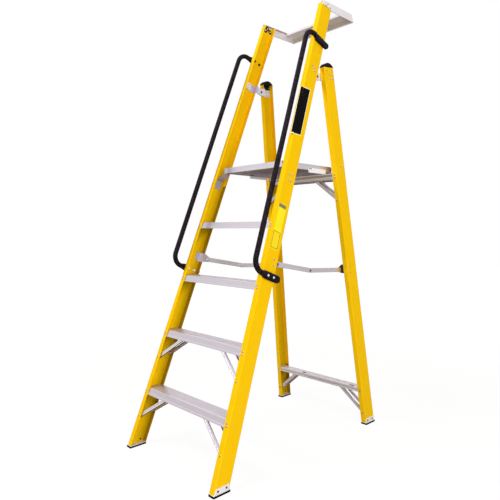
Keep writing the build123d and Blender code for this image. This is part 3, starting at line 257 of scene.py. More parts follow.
class GrainGroup(SharedTree):
    """Long streaks that run in one direction, as on drawn metal and pultruded fibreglass."""

    NAME = "lengthwise_grain"
    INPUTS = (
        ("Vector", "Vector", None),
        ("Along", "Vector", None),
        ("Stretch", "Float", 0.02),
        ("Scale", "Float", 400.0),
    )
    OUTPUTS = ("Streak", "Cloud")
    STREAK_DETAIL = 3.0
    CLOUD_SCALE = 9.0

    @classmethod
    def wire(cls, board: Board, given: bpy.types.NodeOutputs) -> dict[object, object]:
        """Draw one noise out along the grain and leave another as it is.

        Args:
            board: The tree's board.
            given: The tree's inputs.

        Returns:
            The sockets for Streak and Cloud.
        """
        vector, along = given["Vector"], given["Along"]
        squeeze = board.times(board.dot(vector, along), board.math("SUBTRACT", 1.0, given["Stretch"]))
        offset = board.node("ShaderNodeVectorMath", {0: along, "Scale": squeeze}, operation="SCALE")
        flat = board.vector("SUBTRACT", vector, offset.outputs[0]).outputs[0]
        streak = board.noise(flat, given["Scale"], cls.STREAK_DETAIL)
        return {"Streak": streak, "Cloud": board.noise(vector, cls.CLOUD_SCALE)}


class HandlingGroup(SharedTree):
    """Faint marks and dust that a used tool carries, strongest low down."""

    NAME = "handling_marks"
    INPUTS = (("Vector", "Vector", None), ("Amount", "Float", 0.2))
    OUTPUTS = ("Mask",)
    PATCH_SCALE, PATCH_DETAIL, PATCHES = 14.0, 4.0, (0.48, 0.72)
    SPECK_SCALE, SPECK_DETAIL, SPECKS = 260.0, 1.0, (0.6, 0.75)
    SPECK_SHARE = 0.6
    HIGH_SHARE = 0.35
    LOW_HEIGHT = 0.6

    @classmethod
    def wire(cls, board: Board, given: bpy.types.NodeOutputs) -> dict[object, object]:
        """Lay patches and specks over each other and thin them out with height.

        Args:
            board: The tree's board.
            given: The tree's inputs.

        Returns:
            The socket for Mask.
        """
        vector = given["Vector"]
        patches = board.spread(board.noise(vector, cls.PATCH_SCALE, cls.PATCH_DETAIL), 0.0, 1.0, *cls.PATCHES)
        specks = board.spread(board.noise(vector, cls.SPECK_SCALE, cls.SPECK_DETAIL), 0.0, 1.0, *cls.SPECKS)
        low = board.spread(board.dot(vector, Axis.UPWARD.value), 1.0, cls.HIGH_SHARE, 0.0, cls.LOW_HEIGHT)
        both = board.most(patches, board.times(specks, cls.SPECK_SHARE))
        return {"Mask": board.times(board.times(both, low), given["Amount"])}


# Finishes


@dataclass(frozen=True)
class Coat:
    """A material in the making, with the sockets that every finish paints from.

    The place and normal are object coordinates, the streak and cloud come from the grain, and
    the mask holds the handling marks.
    """

    board: Board
    shader: bpy.types.Node
    place: Socket
    normal: Socket
    streak: Socket
    cloud: Socket
    mask: Socket

    def drive(self, name: str, value: Socket) -> None:
        """Drive one of the shader's inputs."""
        self.board.put(self.shader.inputs[name], value)

    def lay(self, share: Socket, colour: object) -> None:
        """Lay a share of a colour over the base colour so far."""
        below = self.shader.inputs["Base Color"].links[0].from_socket
        self.drive("Base Color", self.board.mix(share, below, colour))


@dataclass(frozen=True)
class Finish:
    """A finish with a base colour, a second colour for its marks, and how rough and metallic it is."""

    name: str
    colour: Colour
    shade: Colour
    roughness: float = 0.4
    metallic: float = 0.0
    specular: float = 0.5
    marks: float = 0.15
    relief: float = 0.00002
    grain_scale: float = 420.0
    grain_stretch: float = 0.015
    grain_contrast: float = 0.35

    WORN_SHARE = 0.55
    WORN_LIFT = 0.12
    WORN_ROUGHNESS = 0.25
    SMOOTHER = 0.05
    ROUGHER = 0.07
    GRAIN_STRENGTH = 0.35

    def material(self, tag: str = "", along: Sequence[float] = Axis.ACROSS.value) -> Material:
        """Build the finish for a piece whose grain runs in a direction.

        Args:
            tag: What to add to the material's name.
            along: The grain's direction.

        Returns:
            The material.
        """
        name = f"finish_{self.name}_{tag}" if tag else f"finish_{self.name}"
        found = bpy.data.materials.get(name)
        if found:
            return found
        made = bpy.data.materials.new(name)
        made.use_nodes = True
        board = Board(made.node_tree)
        shader = made.node_tree.nodes["Principled BSDF"]
        where = board.node("ShaderNodeTexCoord").outputs
        place = where["Object"]
        lengths = {"Stretch": self.grain_stretch, "Scale": self.grain_scale}
        given = {"Vector": place, "Along": tuple(along), **lengths}
        grain = board.node("ShaderNodeGroup", given, node_tree=GrainGroup.get()).outputs
        given = {"Vector": place, "Amount": self.marks}
        mask = board.node("ShaderNodeGroup", given, node_tree=HandlingGroup.get()).outputs["Mask"]
        self.paint(Coat(board, shader, place, where["Normal"], grain["Streak"], grain["Cloud"], mask))
        shader.inputs["Metallic"].default_value = self.metallic
        shader.inputs["Specular IOR Level"].default_value = self.specular
        return made

    def paint(self, coat: Coat) -> None:
        """Drive the shader's colour, roughness and normal.

        Args:
            coat: The material in the making.
        """
        board = coat.board
        share = board.spread(coat.streak, 0.0, self.grain_contrast)
        share = board.math("ADD", share, board.spread(coat.cloud, 0.0, self.grain_contrast / 2))
        wear_and_shade = tuple(self.WORN_SHARE * channel + self.WORN_LIFT for channel in self.shade)
        coat.drive("Base Color", board.mix(coat.mask, board.mix(share, self.colour, self.shade), wear_and_shade))
        rough = board.spread(coat.streak, self.roughness - self.SMOOTHER, self.roughness + self.ROUGHER)
        coat.drive("Roughness", board.math("ADD", rough, board.times(coat.mask, self.WORN_ROUGHNESS)))
        coat.drive("Normal", board.bump(coat.streak, self.GRAIN_STRENGTH, self.relief))


@dataclass(frozen=True)
class ChannelFinish(Finish):
    """A channel's finish with painted shade inside the channel and painted shadows under each tread."""

    # Painted shade: a darker tone on the inner web, and a deeper one towards the back of the channel.
    inner: Colour = (0.90, 0.54, 0.001)
    deep_shade: Colour = (0.36, 0.22, 0.001)
    inward: float = 1.0
    tip: float = 0.0
    back: Triple = (0.0, 1.0, 0.0)
    front_edge: float = 0.0
    back_edge: float = 1.0
    flange: float = 0.012
    # The heights of the parts whose painted shadows fall on the web, and how far down each shadow reaches.
    covers: tuple[float, ...] = ()
    cover_depth: float = 0.10
    # The painted shade fades out with height between these two heights.
    shade_fade_from: float = 1.50
    shade_fade_to: float = 1.75

    TIP_MARGIN = 0.006
    CORNER = 0.005
    FALL_FROM, FALL_DEPTH = 0.4, 0.75
    # The share of the rear flange's painted shade that stays above the fade.
    HIGH_FLANGE_SHADE = 0.6
    WEB_FACING = 0.6

    def paint(self, coat: Coat) -> None:
        """Drive the shader as any finish, then paint shade inside the channel and shadows under the treads.

        Args:
            coat: The material in the making.
        """
        super().paint(coat)
        board = coat.board
        depth = board.dot(coat.place, self.back)
        height = board.dot(coat.place, Axis.UPWARD.value)
        inward = (self.inward, 0.0, 0.0)
        clear = board.below(board.dot(coat.place, inward), self.tip - self.TIP_MARGIN)
        web = board.times(board.above(board.dot(coat.normal, inward), self.WEB_FACING), clear)
        ahead = board.above(board.dot(coat.normal, tuple(-value for value in self.back)), HALF_FACING)
        behind = board.above(depth, self.back_edge - self.flange)
        rear_flange = board.times(board.times(ahead, behind), clear)
        fall_from = self.front_edge + self.FALL_FROM * (self.back_edge - self.front_edge)
        fall = board.spread(depth, 0.0, self.FALL_DEPTH, fall_from, self.back_edge - self.CORNER)
        shade = board.times(web, fall)
        # Painted shadows under each tread.
        for cover in self.covers:
            under = board.spread(height, 0.0, 1.0, cover - self.cover_depth, cover)
            under = board.times(under, board.below(height, cover))
            shade = board.most(shade, board.times(under, web))
        # The painted shade fades out with height; the rear flange keeps part of it.
        wear_and_shade = board.spread(height, 1.0, 0.0, self.shade_fade_from, self.shade_fade_to)
        rear_shade_fade = board.spread(height, 1.0, self.HIGH_FLANGE_SHADE, self.shade_fade_from, self.shade_fade_to)
        shade = board.most(board.times(shade, wear_and_shade), board.times(rear_flange, rear_shade_fade))
        # Lay the inner web's painted shade, then the deeper painted shade.
        coat.lay(board.times(web, wear_and_shade), self.inner)
        coat.lay(shade, self.deep_shade)


@dataclass(frozen=True)
class SleeveFinish(Finish):
    """A black sleeve with a fine pebble that catches the light in small flecks."""

    pebble_scale: float = 190.0
    pebble_range: tuple[float, float] = (0.1, 0.7)
    pebble_strength: float = 0.5
    pebble_depth: float = 0.0003
    fleck_scale: float = 75.0
    fleck_detail: float = 3.0
    fleck_range: tuple[float, float] = (0.42, 0.68)
    fleck_roughness: float = 0.15

    def paint(self, coat: Coat) -> None:
        """Drive the shader with pebbles in place of streaks.

        Args:
            coat: The material in the making.
        """
        board = coat.board
        cells = board.node("ShaderNodeTexVoronoi", {"Vector": coat.place, "Scale": self.pebble_scale})
        pebble = board.spread(cells.outputs["Distance"], 1.0, 0.0, *self.pebble_range)
        cloudy = board.noise(coat.place, self.fleck_scale, self.fleck_detail)
        flecks = board.spread(cloudy, 0.0, 1.0, *self.fleck_range)
        coat.drive("Base Color", board.mix(coat.mask, board.mix(flecks, self.colour, self.shade), self.shade))
        rough = board.spread(flecks, self.roughness, self.roughness + self.fleck_roughness, 0.0, 1.0)
        coat.drive("Roughness", rough)
        coat.drive("Normal", board.bump(pebble, self.pebble_strength, self.pebble_depth))


@dataclass(frozen=True)
class TonedFinish(Finish):
    """A metal with a tone painted for light or shade on the faces that look one way, past a start."""

    # The tone painted for the light or shade on the faces that look one way; by default painted shade
    # underneath.
    toned: Colour = (0.30, 0.26, 0.18)
    way: Triple = (0.0, 0.0, -1.0)
    range_axis: Triple = (0.0, 0.0, 1.0)
    range_start: float = -100.0
    facing: tuple[float, float] = (0.45, 0.8)

    def paint(self, coat: Coat) -> None:
        """Drive the shader as any finish, then mix in the painted shading tone.

        Args:
            coat: The material in the making.
        """
        super().paint(coat)
        board = coat.board
        share = board.spread(board.dot(coat.normal, self.way), 0.0, 1.0, *self.facing)
        inside = board.above(board.dot(coat.place, self.range_axis), self.range_start)
        # Mix the grain into the painted shading tone and lay it on the facing faces.
        toned = board.mix(board.spread(coat.streak, 0.0, 0.4), self.toned, self.shade)
        coat.lay(board.times(share, inside), toned)


@dataclass(frozen=True)
class BoltFinish(Finish):
    """Plated bolts, of which the upper ones are painted with the handrail."""

    dark_above: float = 1.0
    paint_colour: Colour = (0.008, 0.006, 0.008)

    def paint(self, coat: Coat) -> None:
        """Drive the shader as any finish, then paint the upper bolts.

        Args:
            coat: The material in the making.
        """
        super().paint(coat)
        height = coat.board.dot(coat.place, Axis.UPWARD.value)
        coat.lay(coat.board.above(height, self.dark_above), self.paint_colour)


@dataclass(frozen=True)
class LinedFinish(TonedFinish):
    """A drawn metal with bands of other tones, each a place on an axis, a width and a colour."""

    line_axis: Triple = (0.0, 1.0, 0.0)
    lines: tuple[tuple[float, float, Colour], ...] = ()
    lines_way: Optional[Triple] = None
    full_share: float = 0.25
    fade_share: float = 0.70

    def paint(self, coat: Coat) -> None:
        """Drive the shader as a toned finish, then draw the bands.

        Args:
            coat: The material in the making.
        """
        super().paint(coat)
        board = coat.board
        where = board.dot(coat.place, self.line_axis)
        for line, width, tone in self.lines:
            off = board.math("ABSOLUTE", board.math("SUBTRACT", where, line))
            drawn = board.spread(off, 1.0, 0.0, width * self.full_share, width * self.fade_share)
            if self.lines_way:
                drawn = board.times(drawn, board.above(board.dot(coat.normal, self.lines_way), HALF_FACING))
            coat.lay(drawn, tone)


@dataclass(frozen=True)
class PlateFinish(Finish):
    """A bare label plate with a rim, an optional band at its top and an optional ruled panel."""

    rim: Colour = (0.9, 0.8, 0.2)
    rim_width: float = 0.003
    band: Optional[Colour] = None
    band_depth: float = 0.0
    ruled: bool = False
    rule_tone: Colour = (0.10, 0.09, 0.02)
    rule_width: float = 0.0022
    panel_half: float = 0.86
    panel_low: float = -0.93
    panel_high: float = -0.22
    centre: Triple = (0.0, 0.0, 0.0)
    half_across: float = 0.02
    half_along: float = 0.1
    slope: float = 0.0
    across_axis: Triple = (0.0, 1.0, 0.0)
    along_axis: Triple = (0.0, 0.0, 1.0)

    def paint(self, coat: Coat) -> None:
        """Drive the shader's colour by the distance from the plate's edges.

        Args:
            coat: The material in the making.
        """
        board = coat.board
        shift = board.vector("SUBTRACT", coat.place, self.centre).outputs[0]
        across = board.dot(shift, self.across_axis)
        along = board.math("SUBTRACT", board.dot(shift, self.along_axis), board.times(across, self.slope))
        side = board.above(board.math("ABSOLUTE", across), self.half_across - self.rim_width)
        end = board.above(board.math("ABSOLUTE", along), self.half_along - self.rim_width)
        coat.drive("Base Color", board.mix(board.spread(coat.cloud, 0.0, 0.3), self.colour, self.shade))
        if self.band:
            coat.lay(board.above(along, self.half_along - self.band_depth), self.band)
        if self.ruled:
            coat.lay(board.below(along, self.half_along * self.panel_high), self.rim)
            outer, inner = (self.panel(board, across, along, inset) for inset in (0.0, self.rule_width))
            coat.lay(board.math("SUBTRACT", outer, inner), self.rule_tone)
        coat.lay(board.most(side, end), self.rim)
        coat.lay(coat.mask, self.shade)
        coat.drive("Roughness", board.spread(coat.cloud, self.roughness, self.roughness + 0.1))

    def panel(self, board: Board, across: Socket, along: Socket, inset: float) -> Socket:
        """Mask the empty panel on the lower half of the plate.

        Args:
            board: The material's board.
            across: The distance from the middle across the plate.
            along: The distance from the middle along the plate.
            inset: How far inside the panel's edge the mask stops.

        Returns:
            The mask's socket.
        """
        inside = board.below(board.math("ABSOLUTE", across), self.half_across * self.panel_half - inset)
        low, high = self.half_along * self.panel_low + inset, self.half_along * self.panel_high - inset
        return board.times(inside, board.times(board.above(along, low), board.below(along, high)))


FIBREGLASS = ChannelFinish(
    "fibreglass", colour=(0.97, 0.585, 0.002), shade=(0.90, 0.50, 0.002), roughness=0.5, specular=0.04,
    marks=0.05, relief=0.00004, grain_scale=520.0, grain_contrast=0.22,
)
# The extrusion's faces that look down take the default painted shade.
EXTRUSION = TonedFinish(
    "extruded_aluminium", colour=(0.62, 0.57, 0.62), shade=(0.54, 0.49, 0.53), roughness=0.36,
    metallic=0.85, marks=0.10, grain_scale=900.0, grain_stretch=0.004,
)
# The pressed sheet's faces that look down are painted near black as shade.
SHEET = TonedFinish(
    "pressed_aluminium", colour=(0.78, 0.73, 0.78), shade=(0.64, 0.60, 0.64), roughness=0.32,
    metallic=0.85, marks=0.08, grain_scale=500.0, grain_stretch=0.03, toned=(0.06, 0.05, 0.06),
)
ZINC = Finish(
    "zinc_plate", colour=(0.82, 0.79, 0.84), shade=(0.74, 0.71, 0.75), roughness=0.52, metallic=0.3,
    specular=0.3, marks=0.04, relief=0.000005, grain_scale=120.0, grain_stretch=0.6,
)
RAIL_BOLT = BoltFinish(
    "rail_bolt", colour=ZINC.colour, shade=ZINC.shade, roughness=ZINC.roughness, metallic=ZINC.metallic,
)
BRIGHT_PLATED = Finish(
    "bright_plated", colour=(0.93, 0.92, 0.94), shade=(0.84, 0.82, 0.85), roughness=0.38, metallic=0.25,
    marks=0.08, grain_scale=160.0, grain_stretch=0.5,
)
# A darker, more metallic plating for the front spreader and platform brackets.
GREY_PLATED = Finish(
    "grey_plated", colour=(0.58, 0.53, 0.58), shade=(0.36, 0.33, 0.36), metallic=0.85, grain_scale=140.0,
    grain_stretch=0.5,
)
# A dark copy of the plating, painted shade for the rear spreader brackets.
SHADED_PLATED = Finish(
    "shaded_plated", colour=(0.10, 0.09, 0.09), shade=(0.05, 0.045, 0.05), roughness=0.45, metallic=0.6,
    marks=0.10, grain_scale=160.0, grain_stretch=0.5,
)
# The tray sheet's faces that look down take a khaki painted shade.
TRAY_SHEET = TonedFinish(
    "tray_sheet", colour=(0.84, 0.79, 0.82), shade=(0.74, 0.70, 0.73), roughness=0.56, metallic=0.2,
    specular=0.3, marks=0.05, grain_scale=500.0, grain_stretch=0.03, toned=(0.42, 0.36, 0.26),
)
PIN_STEEL = Finish(
    "pin_steel", colour=(0.16, 0.14, 0.15), shade=(0.08, 0.07, 0.08), roughness=0.3, metallic=0.95,
    marks=0.10, grain_scale=200.0, grain_stretch=0.5,
)
# The rivets' golden tint is a painted reflection of the yellow stiles.
RIVET = Finish(
    "rivet_aluminium", colour=(0.60, 0.53, 0.38), shade=(0.40, 0.33, 0.20), roughness=0.3, metallic=0.9,
    marks=0.10, grain_scale=260.0, grain_stretch=0.5,
)
MANDREL = Finish(
    "rivet_mandrel", colour=(0.20, 0.19, 0.19), shade=(0.10, 0.10, 0.10), roughness=0.45, metallic=0.9,
    grain_scale=300.0, grain_stretch=0.8,
)
SLEEVE = SleeveFinish(
    "handrail_sleeve", colour=(0.005, 0.003, 0.006), shade=(0.024, 0.014, 0.022), roughness=0.5,
    specular=0.06, marks=0.05,
)
CAP_PLASTIC = Finish(
    "cap_plastic", colour=(0.004, 0.004, 0.005), shade=(0.012, 0.012, 0.014), roughness=0.5, specular=0.05,
    marks=0.03, grain_scale=240.0, grain_stretch=0.9,
)
# Dark discs behind the tray rivets: backing washers that also stand for the shade in the top of the front
# stiles.
BACKING_AND_SHADE = Finish(
    "tray_backing", colour=(0.030, 0.022, 0.006), shade=(0.060, 0.045, 0.012), roughness=0.6, specular=0.1,
    marks=0.05,
)
RUBBER = Finish(
    "foot_rubber", colour=(0.002, 0.002, 0.002), shade=(0.008, 0.007, 0.007), roughness=0.85, specular=0.0,
    marks=0.04, relief=0.0002, grain_scale=700.0, grain_stretch=0.9,
)
DARK_PLATE = PlateFinish(
    "dark_plate", colour=(0.003, 0.003, 0.004), shade=(0.006, 0.006, 0.007), specular=0.02, marks=0.04,
    rim=(1.0, 0.90, 0.50), rim_width=0.0045,
)
BRIGHT_PLATE = PlateFinish(
    "bright_plate", colour=(0.98, 0.86, 0.02), shade=(0.95, 0.78, 0.02), specular=0.05, marks=0.04,
    rim=(0.96, 0.72, 0.02), band=(0.22, 0.23, 0.12), band_depth=0.022, ruled=True,
)


def banded(
    base: Finish,
    name: str,
    bands: Sequence[tuple[float, float, Colour]],
    axis: Axis,
    seen: Optional[Axis] = None,
    **changes: object,
) -> LinedFinish:
    """Make a finish with bands of other tones from a plainer one.

    Args:
        base: The plainer finish.
        name: The finish's name.
        bands: Each band's place on the axis, its width and its colour.
        axis: The axis that the bands are placed on.
        seen: The way that the banded faces look, or none for all faces.
        **changes: The other fields that differ from the base.

    Returns:
        The finish.
    """
    lines_way = seen.value if seen else None
    own = {"name": name, "line_axis": axis.value, "lines": tuple(bands), "lines_way": lines_way}
    return LinedFinish(**{**vars(base), **own, **changes})


# Meshes


def plain(values: Iterable[float]) -> tuple[float, ...]:
    """Turn any run of numbers into a tuple of Python numbers."""
    return tuple(float(value) for value in values)


def vertices_of(piece: Piece) -> np.ndarray:
    """Read a mesh's vertices.

    Args:
        piece: The mesh object.

    Returns:
        The vertices as rows of three numbers.
    """
    flat = np.zeros(len(piece.data.vertices) * 3, np.float32)
    piece.data.vertices.foreach_get("co", flat)
    return flat.reshape(-1, 3).astype(float)


def long_axis(piece: Piece) -> Vector:
    """Find the direction from the middle of a piece's lowest points to the middle of its highest.

    Args:
        piece: The mesh object.

    Returns:
        The direction.
    """
    points = vertices_of(piece)
    order = points[:, 2].argsort()
    return Vector(points[order[-END_POINTS:]].mean(0) - points[order[:END_POINTS]].mean(0)).normalized()


def islands_of(piece: Piece) -> list[tuple[np.ndarray, np.ndarray]]:
    """Split a mesh of loose triangles into its separate solids.

    Args:
        piece: The mesh object.

    Returns:
        For each solid, its triangles' corners and their normals times twice their area.
    """
    mesh = piece.data
    mesh.calc_loop_triangles()
    corners = np.zeros(len(mesh.loop_triangles) * 3, np.int32)
    mesh.loop_triangles.foreach_get("vertices", corners)
    triangles = vertices_of(piece)[corners.reshape(-1, 3)]
    _, merged = np.unique(np.round(triangles.reshape(-1, 3), 6), axis=0, return_inverse=True)
    merged = merged.reshape(-1, 3)
    label = np.arange(merged.max() + 1)
    while True:
        lowest = label[merged].min(1)
        grown = label.copy()
        for column in range(3):
            np.minimum.at(grown, merged[:, column], lowest)
        if (grown == label).all():
            break
        label = grown
    owner = label[merged[:, 0]]
    solids = [triangles[owner == name] for name in np.unique(owner)]
    return [(mine, np.cross(mine[:, 1] - mine[:, 0], mine[:, 2] - mine[:, 0])) for mine in solids]


def head_of(triangles: np.ndarray, normals: np.ndarray) -> tuple[Vector, Vector]:
    """Find where a headed pin's head ends and which way it points.

    The largest flat face is the one under the head, so the head points away from it.

    Args:
        triangles: The pin's triangles.
        normals: Their normals times twice their area.

    Returns:
        The middle of the head's top and the direction it faces.
    """
    areas = np.linalg.norm(normals, axis=1)
    unit = normals / np.maximum(areas, 1e-15)[:, None]
    keys, group = np.unique(np.round(unit, 3), axis=0, return_inverse=True)
    under_head = keys[np.bincount(group.ravel(), weights=areas).argmax()]
    axis = -under_head / np.linalg.norm(under_head)
    points = triangles.reshape(-1, 3)
    along = (points - (points.min(0) + points.max(0)) / 2) @ axis
    return Vector(points[along > along.max() - 1e-6].mean(0)), Vector(axis)


def tail_of(triangles: np.ndarray, normals: np.ndarray, tail_radius: float) -> tuple[Vector, Vector]:
    """Find where a rivet's tail sits on the sheet and which way the tail points.

    Args:
        triangles: The rivet's triangles.
        normals: Their normals times twice their area.
        tail_radius: The tail's radius in metres.

    Returns:
        The middle of the tail's seat and the direction away from the head.
    """
    top, axis = head_of(triangles, normals)
    points = triangles.reshape(-1, 3) - np.array(top)
    along = points @ np.array(axis)
    out = np.linalg.norm(points - along[:, None] * np.array(axis), axis=1)
    seat = along[(np.abs(out - tail_radius) < RADIUS_SLACK) & (along < -SHEETS_UNDER_HEAD)].max()
    return top + axis * float(seat), -axis


def dress(piece: Piece, material: Material) -> None:
    """Give a piece one material.

    Args:
        piece: The mesh object.
        material: The material.
    """
    if not piece.material_slots:
        piece.data.materials.append(material)
    for slot in piece.material_slots:
        slot.material = material


def show(name: str, data: bpy.types.ID) -> Piece:
    """Put a mesh, a lamp's data or a camera's data in the scene.

    Args:
        name: The object's name.
        data: What it shows.

    Returns:
        The object.
    """
    made = bpy.data.objects.new(name, data)
    bpy.context.scene.collection.objects.link(made)
    return made


def faced(name: str, points: Sequence[Sequence[float]], faces: Sequence[Sequence[int]]) -> Piece:
    """Make a piece from its points and faces.

    Args:
        name: The piece's name.
        points: The points.
        faces: The points' numbers round each face.

    Returns:
        The piece.
    """
    mesh = bpy.data.meshes.new(name)
    mesh.from_pydata(points, [], faces)
    return show(name, mesh)


class StubTree(SharedTree):
    """Geometry Nodes that set a short round stub on every point, turned to the point's direction."""

    NAME = "stubs_on_points"
    KIND = "GeometryNodeTree"
    DIRECTION = "direction"
    SIDES = 10
    SEED = 3
    TAPER = 0.75
    INPUTS = (
        ("Geometry", "Geometry", None),
        ("Radius", "Float", 0.001),
        ("Height", "Float", 0.0005),
        ("Sides", "Int", SIDES),
        ("Seed", "Int", SEED),
        ("Material", "Material", None),
    )
    OUTPUTS = ("Geometry",)
    OUTPUT_KIND = "Geometry"

    @classmethod
    def wire(cls, board: Board, given: bpy.types.NodeOutputs) -> dict[object, object]:
        """Turn a tapered stub to each point's direction, roll it, and make the copies real.

        Args:
            board: The tree's board.
            given: The tree's inputs.

        Returns:
            The socket for Geometry.
        """
        ends = {"Radius Bottom": given["Radius"], "Radius Top": board.times(given["Radius"], cls.TAPER)}
        size = {"Vertices": given["Sides"], "Depth": given["Height"], **ends}
        stub = board.node("GeometryNodeMeshCone", size, fill_type="NGON").outputs["Mesh"]
        name = {"Name": cls.DIRECTION}
        stored = board.node("GeometryNodeInputNamedAttribute", name, data_type="FLOAT_VECTOR")
        facing = {"Vector": stored.outputs["Attribute"]}
        turn = board.node("FunctionNodeAlignRotationToVector", facing, axis="Z").outputs["Rotation"]
        roll = board.node("FunctionNodeRandomValue", {3: math.tau, "Seed": given["Seed"]}, data_type="FLOAT")
        spin = board.node("ShaderNodeCombineXYZ", {"Z": roll.outputs[1]}).outputs["Vector"]
        turns = {"Rotation": turn, "Rotate By": spin}
        local = board.node("FunctionNodeRotateRotation", turns, rotation_space="LOCAL").outputs["Rotation"]
        spots = {"Points": given["Geometry"], "Instance": stub, "Rotation": local}
        copies = board.node("GeometryNodeInstanceOnPoints", spots).outputs["Instances"]
        real = board.node("GeometryNodeRealizeInstances", {"Geometry": copies}).outputs["Geometry"]
        painted = board.node("GeometryNodeSetMaterial", {"Geometry": real, "Material": given["Material"]})
        return {"Geometry": painted.outputs["Geometry"]}

    @classmethod
    def grow(
        cls,
        name: str,
        places: Sequence[tuple[Vector, Vector]],
        radius: float,
        height: float,
        material: Material,
    ) -> Piece:
        """Make one plain mesh with a stub on every place.

        Args:
            name: The piece's name.
            places: Each stub's middle and the direction it faces.
            radius: The stubs' radius in metres.
            height: The stubs' height in metres.
            material: The stubs' material.

        Returns:
            The piece.
        """
        holder = faced(f"{name}_points", [tuple(top) for top, _ in places], [])
        seeds = holder.data
        facing = seeds.attributes.new(cls.DIRECTION, "FLOAT_VECTOR", "POINT")
        facing.data.foreach_set("vector", np.array([tuple(way) for _, way in places], np.float32).ravel())
        modifier = holder.modifiers.new("stubs", "NODES")
        modifier.node_group = cls.get()
        values = {"Radius": radius, "Height": height, "Sides": cls.SIDES, "Seed": cls.SEED}
        values["Material"] = material
        for item in cls.get().interface.items_tree:
            if item.in_out == "INPUT" and item.name in values:
                modifier[item.identifier] = values[item.name]
        holder.update_tag()
        graph = bpy.context.evaluated_depsgraph_get()
        mesh = bpy.data.meshes.new_from_object(holder.evaluated_get(graph))
        mesh.name = name
        bpy.data.objects.remove(holder)
        bpy.data.meshes.remove(seeds)
        return show(name, mesh)


# Sub-assemblies


@dataclass
class SubAssembly:
    """CAD nodes that belong together, with the calls that dress them."""

    nodes: dict[str, Piece]

    def paint(self, names: Iterable[str], material: Material) -> None:
        """Give nodes a material and report each one.

        Args:
            names: The nodes' names.
            material: The material.
        """
        for name in names:
            dress(self.nodes[name], material)
            LOG.info("%s: %s", name, material.name)

    def pair(self, name: str) -> list[str]:
        """Name a node on both sides."""
        return [f"{name}_{side.value}" for side in Side]


@dataclass
class Stiles(SubAssembly):
    """The four yellow stiles, each with its grain along its own lean."""

    # The parts whose painted shadows fall on the stiles of each frame.
    covers: tuple[tuple[str, tuple[str, ...]], ...] = (
        ("front", ("tread_1", "tread_2", "tread_3", "tread_4")),
        ("rear", ("platform_rest", "rear_tread")),
    )

    def build(self) -> None:
        """Dress the stiles."""
        for end, covers in self.covers:
            for side in Side:
                name = f"{end}_stile_{side.value}"
                axis = long_axis(self.nodes[name])
                back = Vector((0.0, axis.z, -axis.y)).normalized()
                depths = vertices_of(self.nodes[name]) @ np.array(back)
                low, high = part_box(name)
                finish = replace(
                    FIBREGLASS,
                    inward=1.0 if side is Side.LEFT else -1.0,
                    tip=high.x if side is Side.LEFT else -low.x,
                    back=tuple(back),
                    front_edge=float(depths.min()),
                    back_edge=float(depths.max()),
                    covers=tuple(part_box(cover)[0].z for cover in covers),
                )
                self.paint([name], finish.material(name, axis))


